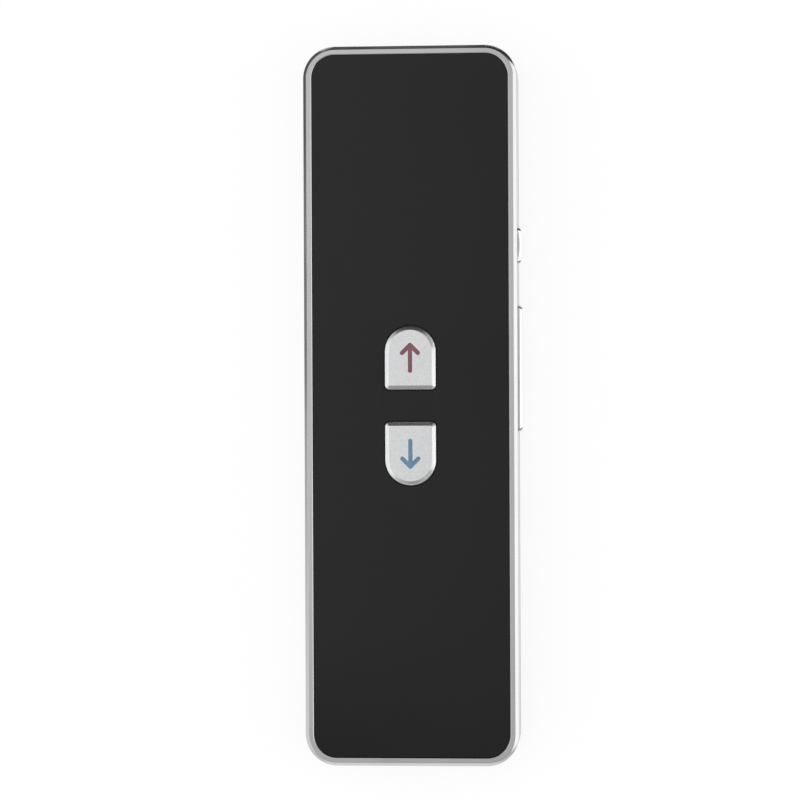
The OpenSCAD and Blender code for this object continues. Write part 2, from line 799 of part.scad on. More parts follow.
module main_board() {
    notch_x = pin_x - lug_r - notch_gap;
    color("darkgreen") translate([0, 0, board_low]) linear_extrude(board_t) difference() {
        translate([-board_x, board_start]) square([2 * board_x, board_end - board_start]);
        for (side = [0, 1]) mirror([side, 0]) translate([screw_x - board_cut, board_start - eps])
            square([board_x, board_cut - screw_y - board_start]);
        translate([notch_x, rocker_y - ear_w / 2 - notch_gap]) square([board_x, ear_w + 2 * notch_gap]);
        for (p = post_places) translate(p) circle(board_screw_r + through_fit);
    }
}

// Stands a block on the board's front face at [x, y]
module on_board(at) {
    translate([at[0], at[1], board_top]) children();
}

// Rows of small blocks along x on the board's front face: each row is [its middle, its count]
module chip_rows(rows, pitch, size) {
    for (row = rows, i = [0:row[1] - 1])
        on_board(row[0] + [(i - (row[1] - 1) / 2) * pitch, 0]) block(size);
}

module processor_chip() {
    color([0.1, 0.1, 0.1]) on_board(processor_at) block(processor_size);
}

module memory_chip() {
    color([0.12, 0.12, 0.12]) on_board(memory_at) block(memory_size);
}

module power_chip() {
    color([0.1, 0.1, 0.12]) on_board(power_chip_at) block(power_chip_size);
}

module radio_module() {
    color("darkblue") on_board(radio_at) block(radio_size);
}

module radio_shield() {
    color("silver") translate([0, 0, radio_size[2]]) on_board(shield_at) difference() {
        block(shield_size);
        translate([0, 0, -eps]) block(shield_size - [2, 2, 1] * shield_wall);
    }
}

module chip_antenna() {
    color("white") on_board(antenna_at) block(antenna_size);
}

module crystal() {
    color("silver") on_board(crystal_at) block(crystal_size);
}

module inductor() {
    color([0.25, 0.25, 0.25]) on_board(inductor_at) difference() {
        block(inductor_size);
        translate([0, 0, inductor_size[2] - groove_depth]) tube(groove_r, groove_r - groove_w, 1);
    }
}

module capacitors() {
    color("tan") chip_rows(capacitor_rows, capacitor_pitch, capacitor_size);
}

module resistors() {
    color([0.15, 0.15, 0.18]) chip_rows(resistor_rows, resistor_pitch, resistor_size);
}

module status_led() {
    color("lightyellow") on_board([0, led_y]) block(led_size);
}

// A clear stem that carries the light up to the panel, held by its foot under the deck
module light_guide() {
    foot_z = board_top + led_size[2] + touch_gap;
    color("azure") translate([0, led_y, foot_z]) {
        cylinder(r = guide_foot_r, h = deck_low - foot_z);
        cylinder(r = guide_r, h = panel_low - touch_gap - foot_z);
    }
}

// The socket's outline: a rectangle with its two lower corners cut
module socket_plan(inset) {
    half = socket_w / 2 - inset;
    low = inset;
    high = socket_h - inset;
    polygon([[-half + socket_cut, low], [half - socket_cut, low], [half, low + socket_cut],
             [half, high], [-half, high], [-half, low + socket_cut]]);
}

module socket_shell() {
    color("silver") translate([0, 0, socket_low]) difference() {
        along_y(socket_mouth, socket_mouth + socket_l) socket_plan(0);
        along_y(socket_mouth - eps, socket_back) socket_plan(socket_wall);
    }
}

module socket_tongue() {
    color([0.1, 0.1, 0.1]) translate([0, socket_back, tongue_z]) {
        translate([0, -tongue_size[1] / 2, 0]) block(tongue_size);
        translate([0, -tongue_foot[1] / 2, (tongue_size[2] - tongue_foot[2]) / 2 - 0.1]) block(tongue_foot);
    }
}

// Five contacts on the tongue's rear face
module socket_contacts() {
    contact_y = socket_back - tongue_foot[1] - contact_size[1] / 2 - touch_gap;
    color("gold") for (i = [-2:2])
        translate([i * contact_pitch, contact_y, tongue_z - contact_size[2]]) block(contact_size);
}

module microphone() {
    color("silver") translate([mic_x, mic_y, board_low - mic_size[2]]) difference() {
        block(mic_size);
        translate([0, 0, -eps]) cylinder(r = port_hole_r, h = mic_size[2] / 3);
    }
}

// A rubber duct from the hole in the frame to the microphone's port
module microphone_boot() {
    foot = mic_port_z - mic_port_r - boot_wall / 2;
    front = -inner_y + touch_gap;
    back = mic_y + mic_size[1] / 2 + boot_wall;
    color([0.15, 0.15, 0.15]) difference() {
        translate([mic_x, (front + back) / 2, foot])
            block([mic_size[0] + 2 * boot_wall, back - front, board_low - touch_gap - foot]);
        translate([mic_x, mic_y, board_low - mic_size[2]]) block(mic_size + [slide_gap, slide_gap, 1]);
        translate([mic_x, mic_y, mic_port_z]) {
            rotate([90, 0, 0]) cylinder(r = mic_port_r, h = mic_y - front + 1);
            cylinder(r = port_hole_r, h = mic_size[2]);
        }
    }
}

// ---- Battery ----

module battery_cell() {
    color("silver") translate([cell_x, cell_y, cell_z])
        linear_extrude(cell_t) rounded_plan(cell_w, cell_l, cell_corner_r);
}

module battery_foam() {
    color("gray") translate([cell_x, cell_y, floor_t])
        linear_extrude(foam_t) rounded_plan(cell_w - 2 * foam_in, cell_l - 2 * foam_in, cell_corner_r);
}

module battery_protection_board() {
    color("darkgreen") translate([cell_x, cell_end - protection_size[1] / 2 - touch_gap, protection_z])
        block(protection_size);
}

// Two wires that leave the protection board, turn and enter the plug side by side
module battery_leads() {
    for (i = [0, 1]) {
        x = lead_x + i * lead_pitch;
        end_y = plug_y + (0.5 - i) * lead_pitch;
        down = lead_y - lead_bend - end_y;
        across = x - lead_bend - plug_x;
        color(i == 0 ? "red" : "black") bent_wire([x, lead_y, lead_z], down, lead_bend, across, lead_r);
    }
}

module battery_plug() {
    color("white") translate([plug_x - plug_size[0] / 2, plug_y, lead_z - plug_size[2] / 2]) block(plug_size);
}

module battery_socket() {
    face_x = plug_x - plug_size[0] + plug_depth;
    foot = board_low - battery_socket_size[2];
    color("ivory") difference() {
        translate([face_x - battery_socket_size[0] / 2, plug_y, foot]) block(battery_socket_size);
        translate([plug_x - plug_size[0] / 2, plug_y, lead_z - plug_size[2] / 2 - slide_gap])
            block(plug_size + [2, 2, 2] * slide_gap);
    }
}

// ---- Speaker ----

module speaker_basket() {
    inner = speaker_r - basket_wall;
    color([0.2, 0.2, 0.2]) {
        translate([0, speaker_y, basket_z]) difference() {
            cylinder(r = speaker_r, h = speaker_t);
            translate([0, 0, -eps]) cylinder(r = inner, h = speaker_t - basket_wall);
            cylinder(r = magnet_r - 1, h = speaker_t + 1);
            for (turn = [45:90:315])
                rotate(turn) translate([(magnet_r + inner) / 2, 0]) cylinder(r = 1, h = speaker_t + 1);
        }
        translate([terminal_x, terminal_y, basket_top]) block(terminal_size);
    }
}

module speaker_magnet() {
    color("dimgray") translate([0, speaker_y, basket_top]) cylinder(r = magnet_r, h = magnet_t);
}

// A domed membrane with a rolled edge
module speaker_diaphragm() {
    rim = speaker_r - basket_wall - slide_gap;
    dome = magnet_r - 0.8;
    rise = 1.1;
    ball = (dome * dome + rise * rise) / (2 * rise);
    film = 0.15;
    color("black") translate([0, speaker_y, basket_z + 0.3]) rotate_extrude() {
        intersection() {
            translate([0, rise - ball]) difference() {
                circle(ball);
                circle(ball - film);
            }
            square([dome, rise + 1]);
        }
        translate([dome - film, 0]) square([rim - dome + film, film]);
    }
}

module speaker_gasket() {
    color([0.1, 0.1, 0.1]) translate([0, speaker_y, floor_t]) tube(speaker_r, mesh_r + 0.1, gasket_t);
}

// Two wires that rise from the speaker's terminals, turn and lie on the board
module speaker_leads() {
    foot = basket_top + terminal_size[2];
    run_z = board_top + speaker_lead_r;
    bend = speaker_lead_bend;
    pad_l = 1.6;
    for (i = [0, 1]) color(i == 0 ? "red" : "black")
        translate([terminal_x + (i - 0.5) * speaker_lead_gap, terminal_y, 0]) {
            translate([0, 0, foot]) cylinder(r = speaker_lead_r, h = run_z - bend - foot);
            translate([0, -bend, run_z - bend]) rotate([90, 0, 90]) rotate_extrude(angle = 90)
                translate([bend, 0]) circle(speaker_lead_r);
            translate([0, -bend, run_z]) rotate([90, 0, 0])
                cylinder(r = speaker_lead_r, h = terminal_y - bend - board_end + pad_l);
        }
}

frame();
front_panel();
panel_adhesive();
inner_deck();
rear_cover();
rear_screws();
board_screws();
grille_mesh();
key_cap(true);  // upper_key_cap
key_mark(true);  // upper_key_mark
front_plunger(true);  // upper_switch_plunger
at_front_switch(true) switch_dome(front_switch);  // upper_switch_dome
at_front_switch(true) switch_base(front_switch);  // upper_switch_base
key_cap(false);  // lower_key_cap
key_mark(false);  // lower_key_mark
front_plunger(false);  // lower_switch_plunger
at_front_switch(false) switch_dome(front_switch);  // lower_switch_dome
at_front_switch(false) switch_base(front_switch);  // lower_switch_base
power_key_cap();
power_plunger();  // power_switch_plunger
at_side_switch(power_y) switch_dome(power_switch);  // power_switch_dome
at_side_switch(power_y) switch_base(power_switch);  // power_switch_base
volume_rocker_cap();
rocker_pin();
volume_plunger(1);  // volume_up_plunger
at_rocker_switch(1) switch_dome(rocker_switch);  // volume_up_dome
at_rocker_switch(1) switch_base(rocker_switch);  // volume_up_switch_base
volume_plunger(-1);  // volume_down_plunger
at_rocker_switch(-1) switch_dome(rocker_switch);  // volume_down_dome
at_rocker_switch(-1) switch_base(rocker_switch);  // volume_down_switch_base
main_board();
processor_chip();
memory_chip();
power_chip();
radio_module();
radio_shield();
chip_antenna();
crystal();
inductor();
capacitors();
resistors();
status_led();
light_guide();
socket_shell();
socket_tongue();
socket_contacts();
microphone();
microphone_boot();
battery_cell();
battery_foam();
battery_protection_board();
battery_leads();
battery_plug();
battery_socket();
speaker_basket();
speaker_magnet();
speaker_diaphragm();
speaker_gasket();
speaker_leads();
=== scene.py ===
import json
import math
from functools import partial
import bmesh
import bpy
from mathutils import Matrix, Vector


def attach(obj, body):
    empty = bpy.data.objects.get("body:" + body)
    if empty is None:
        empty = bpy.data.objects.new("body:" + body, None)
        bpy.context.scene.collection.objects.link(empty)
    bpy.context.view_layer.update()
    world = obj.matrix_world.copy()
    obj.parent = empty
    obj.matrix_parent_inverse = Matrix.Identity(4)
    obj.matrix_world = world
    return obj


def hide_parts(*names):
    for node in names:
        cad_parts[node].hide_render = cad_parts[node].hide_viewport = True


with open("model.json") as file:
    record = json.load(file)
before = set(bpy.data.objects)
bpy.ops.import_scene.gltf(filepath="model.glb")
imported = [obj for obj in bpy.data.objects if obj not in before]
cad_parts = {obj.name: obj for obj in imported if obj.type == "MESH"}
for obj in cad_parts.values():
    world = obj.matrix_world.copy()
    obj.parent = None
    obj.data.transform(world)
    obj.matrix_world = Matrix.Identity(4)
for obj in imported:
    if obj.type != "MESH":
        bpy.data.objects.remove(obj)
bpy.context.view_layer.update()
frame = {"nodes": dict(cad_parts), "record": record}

mm = 0.001
body = {
    "halfWidth": 20.8,
    "halfLength": 70.0,
    "cornerRadius": 6.2,
    "cornerSteps": 20,
    "partingLine": 2.8,
    "top": 11.0,
    "screws": (15.5, 64.7),      # from the middle to each rear screw
}
sideKeys = {
    "height": 5.45,              # of their middles
    "width": 2.6,
    "gap": 0.15,                 # all round, in the frame's slots
    "power": (31.2, 7.8),        # middle and length along the side
    "rocker": (7.2, 25.2),
    "pinPlace": 17.6,            # of the steel pin that the rocker turns on
}
joining = {
    "merge": 0.0005,             # points this close become one
    "flat": 0.05,                # degrees up to which neighbouring faces are one flat face
    "sharp": 50,                 # degrees from which an edge may be bevelled
    "bite": 0.1,                 # how far a part that is added on reaches into the rest
    "touch": 0.01,               # how near a point is to a face that it lies on
    "clear": 1,                  # how far a cutter sticks out of what it cuts
}
housing = "housing"


# mesh helpers: sizes are in millimetres until a mesh is made

def addObject(name, data):
    made = bpy.data.objects.new(name, data)
    bpy.context.scene.collection.objects.link(made)
    return made


def meshFrom(name, points, faces, edges=()):
    mesh = bpy.data.meshes.new(name)
    mesh.from_pydata([tuple(c * mm for c in p) for p in points], list(edges), faces)
    return addObject(name, mesh)


def editMesh(piece, change):
    work = bmesh.new()
    work.from_mesh(piece.data)
    change(work)
    work.to_mesh(piece.data)
    work.free()


def mergePoints(work):
    bmesh.ops.remove_doubles(work, verts=work.verts, dist=joining["merge"] * mm)


def mergeAndTurnOut(work):
    mergePoints(work)
    bmesh.ops.recalc_face_normals(work, faces=work.faces)


def openRims(work):
    return [e for e in work.edges if len(e.link_faces) == 1]


def bakeModifiers(piece):
    depsgraph = bpy.context.evaluated_depsgraph_get()
    mesh = bpy.data.meshes.new_from_object(piece.evaluated_get(depsgraph))
    piece.modifiers.clear()
    old = piece.data
    piece.data = mesh
    if old.users == 0:
        bpy.data.meshes.remove(old)
    mesh.name = piece.name


def joinSolids(piece, others, operation="DIFFERENCE"):
    for other in others:
        step = piece.modifiers.new("solid", "BOOLEAN")
        step.operation = operation
        step.solver = "EXACT"
        step.object = other
    bakeModifiers(piece)
    for other in others:
        bpy.data.objects.remove(other)


def bevelWhere(piece, chosen, width, steps=2):
    # rounds the sharp edges that the test picks; the test gets the edge's two ends in millimetres
    def change(work):
        bmesh.ops.dissolve_limit(work, angle_limit=math.radians(joining["flat"]), verts=work.verts,
                                 edges=work.edges)
        picked = []
        for edge in work.edges:
            if len(edge.link_faces) == 2 and edge.calc_face_angle(0) > math.radians(joining["sharp"]):
                if chosen(*[v.co / mm for v in edge.verts]):
                    picked.append(edge)
        bmesh.ops.bevel(work, geom=picked, offset=width * mm, segments=steps, profile=0.5,
                        affect="EDGES", clamp_overlap=True)
        mergePoints(work)
    editMesh(piece, change)


def arcPoints(cx, cy, radius, start, end, steps):
    points = []
    for i in range(steps + 1):
        angle = math.radians(start + (end - start) * i / steps)
        points.append((cx + radius * math.cos(angle), cy + radius * math.sin(angle)))
    return points


def circlePoints(cx, cy, radius, steps):
    return arcPoints(cx, cy, radius, 0, 360 * (steps - 1) / steps, steps - 1)


def roundedRectangle(halfX, halfY, radius, steps):
    x, y = halfX - radius, halfY - radius
    points = []
    for cx, cy, start in ((x, y, 0), (-x, y, 90), (-x, -y, 180), (x, -y, 270)):
        points += arcPoints(cx, cy, radius, start, start + 90, steps)
    return points


def bodyOutline(gap):
    # the body's outline, this far inside its outer wall
    return roundedRectangle(body["halfWidth"] - gap, body["halfLength"] - gap,
                            body["cornerRadius"] - gap, body["cornerSteps"])


def roundCorners(corners, steps=4):
    # corners are (a, b, radius); one with a radius of 0 is left as it is
    points = []
    count = len(corners)
    for i, (a, b, radius) in enumerate(corners):
        if radius == 0:
            points.append((a, b))
            continue
        here = Vector((a, b))
        before = (Vector(corners[i - 1][:2]) - here).normalized()
        after = (Vector(corners[(i + 1) % count][:2]) - here).normalized()
        half = before.angle(after) / 2
        reach = radius / math.tan(half)
        centre = here + (before + after).normalized() * radius / math.sin(half)
        first = here + before * reach - centre
        turn = first.angle_signed(here + after * reach - centre)
        for k in range(steps + 1):
            spun = Matrix.Rotation(-turn * k / steps, 2) @ first
            points.append(tuple(centre + spun))
    return points


def shifted(outline, dx, dy):
    return [(x + dx, y + dy) for x, y in outline]


def turnedRound(outline):
    return [(-x, -y) for x, y in outline]


def atHeight(outline, z):
    return [(x, y, z) for x, y in outline]


def wallFaces(size, rings, base=0):
    # the quads between rings of as many points each
    faces = []
    for ring in range(rings - 1):
        a = base + ring * size
        b = a + size
        for i in range(size):
            j = (i + 1) % size
            faces.append((a + i, a + j, b + j, b + i))
    return faces


def stackLoops(name, loops):
    # joins rings of as many points each, and closes the first and the last
    size = len(loops[0])
    points = [p for loop in loops for p in loop]
    faces = wallFaces(size, len(loops))
    faces.append(tuple(reversed(range(size))))
    faces.append(tuple(range(len(points) - size, len(points))))
    piece = meshFrom(name, points, faces)
    editMesh(piece, mergeAndTurnOut)
    return piece


def prism(name, outline, low, high, axis="z"):
    # an outline carried along an axis: its two numbers are (y, z) along x and (x, z) along y
    place = {
        "x": lambda a, b, c: (c, a, b),
        "y": lambda a, b, c: (a, c, b),
        "z": lambda a, b, c: (a, b, c),
    }[axis]
    return stackLoops(name, [[place(a, b, c) for a, b in outline] for c in (low, high)])


def roundBar(name, x, y, low, high, radius, steps=48, axis="z"):
    return prism(name, circlePoints(x, y, radius, steps), low, high, axis)


def boxSolid(name, low, high):
    (x0, y0, z0), (x1, y1, z1) = low, high
    return prism(name, [(x0, y0), (x1, y0), (x1, y1), (x0, y1)], z0, z1)


# node helpers: an input takes a plain value or another node's output

def addNode(tree, kind, inputs=None, **settings):
    node = tree.nodes.new(kind)
    for name, value in settings.items():
        setattr(node, name, value)
    for name, value in (inputs or {}).items():
        if isinstance(value, bpy.types.NodeSocket):
            tree.links.new(value, node.inputs[name])
        else:
            node.inputs[name].default_value = value
    return node


def nodeOut(tree, kind, inputs=None, output=0, **settings):
    return addNode(tree, kind, inputs, **settings).outputs[output]


def mathNode(tree, operation, *values):
    return nodeOut(tree, "ShaderNodeMath", dict(enumerate(values)), operation=operation)


def vectorMath(tree, operation, output, *values):
    return nodeOut(tree, "ShaderNodeVectorMath", dict(enumerate(values)), output, operation=operation)


def vectorOf(tree, **parts):
    return nodeOut(tree, "ShaderNodeCombineXYZ", parts)


def partsOf(tree, vector):
    return addNode(tree, "ShaderNodeSeparateXYZ", {0: vector}).outputs


def objectPlace(tree):
    return nodeOut(tree, "ShaderNodeTexCoord", output="Object")


def pointPlace(tree):
    return nodeOut(tree, "GeometryNodeInputPosition")


def stretchValue(tree, value, start, end, low=0, high=1, **settings):
    # what runs from start to end runs from low to high instead
    ends = {"Value": value, "From Min": start, "From Max": end, "To Min": low, "To Max": high}
    return nodeOut(tree, "ShaderNodeMapRange", ends, **settings)


def mixColour(tree, share, first, second, blend="MIX"):
    sides = {"Factor": share}
    for side, colour in (("A", first), ("B", second)):
        sides[side] = (*colour, 1) if isinstance(colour, tuple) else colour
    return nodeOut(tree, "ShaderNodeMix", sides, "Result", data_type="RGBA", blend_type=blend)


def newTree(name, kind, inputs, outputs):
    # inputs and outputs are (name, kind) and, for a plain number, its starting value
    tree = bpy.data.node_groups.new(name, kind)
    for direction, entries in (("INPUT", inputs), ("OUTPUT", outputs)):
        for title, socketKind, *start in entries:
            item = tree.interface.new_socket(title, in_out=direction,
                                             socket_type="NodeSocket" + socketKind)
            if start:
                item.default_value = start[0]
    return tree, addNode(tree, "NodeGroupInput").outputs


def geometryTree(name, inputs):
    return newTree(name, "GeometryNodeTree", inputs + [("Material", "Material")],
                   [("Geometry", "Geometry")])


def endGeometry(tree, geometry, entry):
    real = nodeOut(tree, "GeometryNodeRealizeInstances", {"Geometry": geometry})
    painted = nodeOut(tree, "GeometryNodeSetMaterial", {"Geometry": real, "Material": entry["Material"]})
    addNode(tree, "NodeGroupOutput", {"Geometry": painted})
    return tree


def emptyTree(owner):
    # the node tree of a material or world, with nothing in it yet
    owner.use_nodes = True
    owner.node_tree.nodes.clear()
    return owner.node_tree


def runTree(name, tree, slot, sizes, others):
    # runs a geometry node tree with its inputs set by identifier and keeps a plain mesh
    values = {title: size * mm for title, size in sizes.items()}
    values.update(others)
    values["Material"] = materials[slot]
    holder = addObject(name, bpy.data.meshes.new(name))
    step = holder.modifiers.new("build", "NODES")
    step.node_group = tree
    for item in tree.interface.items_tree:
        if item.in_out == "INPUT":
            step[item.identifier] = values[item.name]
    bakeModifiers(holder)
    return holder


# materials

def grainGroup():
    # fine raised grain: its height, and a mask that is light on the grains
    group, entry = newTree("fineGrain", "ShaderNodeTree",
                           [("Scale", "Float", 6000.0), ("Detail", "Float", 3.0)],
                           [("Height", "Float"), ("Mask", "Float")])
    noise = nodeOut(group, "ShaderNodeTexNoise", {
        "Vector": objectPlace(group), "Scale": entry["Scale"], "Detail": entry["Detail"],
        "Roughness": 0.6,
    })
    mask = stretchValue(group, noise, start=0.38, end=0.62)
    addNode(group, "NodeGroupOutput", {"Height": noise, "Mask": mask})
    return group


def cloudGroup():
    # slow, soft patches, as of handling and of uneven finish
    group, entry = newTree("softClouds", "ShaderNodeTree",
                           [("Scale", "Float", 60.0), ("Stretch", "Float", 1.0)], [("Mask", "Float")])
    at = partsOf(group, objectPlace(group))
    drawn = vectorOf(group, X=at["X"], Y=mathNode(group, "DIVIDE", at["Y"], entry["Stretch"]), Z=at["Z"])
    noise = nodeOut(group, "ShaderNodeTexNoise", {"Vector": drawn, "Scale": entry["Scale"], "Detail": 4})
    mask = stretchValue(group, noise, start=0.35, end=0.65, interpolation_type="SMOOTHSTEP")
    addNode(group, "NodeGroupOutput", {"Mask": mask})
    return group


trackShape = {
    "bendEvery": 1.7,            # in runs
    "slope": 0.9,                # sideways by length, in a bend
    "mostShift": 4.5,            # in pitches, as is the half width
    "halfWidth": 0.2,
    "start": 0.05,               # share of a run before its track starts
}


def trackGroup():
    # a board's copper: tracks side by side that shift sideways together, each in runs of which
    # some are left out, and a round pad where a run starts
    group, entry = newTree("boardTracks", "ShaderNodeTree", [
        ("Pitch", "Float", 0.0006), ("Run", "Float", 0.01), ("Share", "Float", 0.5),
        ("Pad Radius", "Float", 0.0002),
    ], [("Tracks", "Float"), ("Pads", "Float")])
    work = partial(mathNode, group)
    pitch, run = entry["Pitch"], entry["Run"]
    at = partsOf(group, objectPlace(group))
    bend = work("PINGPONG", at["Y"], work("MULTIPLY", run, trackShape["bendEvery"]))
    shift = work("MINIMUM", work("MULTIPLY", bend, trackShape["slope"]),
                 work("MULTIPLY", pitch, trackShape["mostShift"]))
    across = work("DIVIDE", work("ADD", at["X"], shift), pitch)
    lane = work("FLOOR", across)
    start = nodeOut(group, "ShaderNodeTexWhiteNoise", {"W": lane}, noise_dimensions="1D")
    along = work("ADD", work("DIVIDE", at["Y"], run), start)
    cell = vectorOf(group, X=lane, Y=work("FLOOR", along))
    chance = nodeOut(group, "ShaderNodeTexWhiteNoise", {"Vector": cell}, noise_dimensions="2D")
    there = work("GREATER_THAN", entry["Share"], chance)
    aside = work("ABSOLUTE", work("SUBTRACT", work("FRACT", across), 0.5))
    ahead = work("SUBTRACT", work("FRACT", along), trackShape["start"])
    onTrack = work("MULTIPLY", work("LESS_THAN", aside, trackShape["halfWidth"]),
                   work("GREATER_THAN", ahead, 0))
    away = vectorOf(group, X=work("MULTIPLY", aside, pitch), Y=work("MULTIPLY", ahead, run))
    onPad = work("LESS_THAN", vectorMath(group, "LENGTH", "Value", away), entry["Pad Radius"])
    addNode(group, "NodeGroupOutput", {
        "Tracks": work("MULTIPLY", onTrack, there), "Pads": work("MULTIPLY", onPad, there),
    })
    return group


usualLook = {"grainScale": 5000, "speckle": 0.1, "bump": 0.2, "bumpDepth": 0.01, "cloudScale": 50,
             "stretch": 1.0}
shaderValues = ("Metallic", "Coat Weight", "IOR", "Transmission Weight", "Specular IOR Level",
                "Sheen Weight")


def makeMaterial(name, look):
    look = {**usualLook, **look}
    material = bpy.data.materials.new(name)
    tree = emptyTree(material)
    shader = {socket: look[socket] for socket in shaderValues if socket in look}
    grains = addNode(tree, "ShaderNodeGroup", {"Scale": look["grainScale"]}, node_tree=grain).outputs
    patches = nodeOut(tree, "ShaderNodeGroup", {"Scale": look["cloudScale"], "Stretch": look["stretch"]},
                      node_tree=clouds)
    shade = 1 - look["speckle"]
    colour = mixColour(tree, patches, look["colour"], look.get("patch", look["colour"]))
    colour = mixColour(tree, grains["Mask"], colour, (shade, shade, shade), "MULTIPLY")
    if "paintedShadeHeight" in look:
        # painted shade: below a height the key is painted near black and not metal, for the shade in the
        # gap under the panel's window; above it the plated finish
        level = partsOf(tree, objectPlace(tree))["Z"]
        abovePaintedShade = mathNode(tree, "GREATER_THAN", level, look["paintedShadeHeight"] * mm)
        colour = mixColour(tree, abovePaintedShade, look["foot"], colour)
        shader["Metallic"] = mathNode(tree, "MULTIPLY", abovePaintedShade, look["Metallic"])
    height = grains["Height"]
    if "tracks" in look:
        copper = addNode(tree, "ShaderNodeGroup", {
            "Pitch": look["trackPitch"] * mm, "Run": look["trackRun"] * mm,
        }, node_tree=tracks).outputs
        colour = mixColour(tree, copper["Tracks"], colour, look["tracks"])
        colour = mixColour(tree, copper["Pads"], colour, look["pads"])
        shader["Metallic"] = copper["Pads"]
        height = mathNode(tree, "ADD", height, copper["Tracks"])
    shader["Base Color"] = colour
    shader["Roughness"] = stretchValue(tree, patches, 0, 1, *look["roughness"])
    shader["Normal"] = nodeOut(tree, "ShaderNodeBump", {
        "Strength": look["bump"], "Distance": look["bumpDepth"] * mm, "Height": height,
    })
    surface = nodeOut(tree, "ShaderNodeBsdfPrincipled", shader)
    addNode(tree, "ShaderNodeOutputMaterial", {"Surface": surface})
    return material


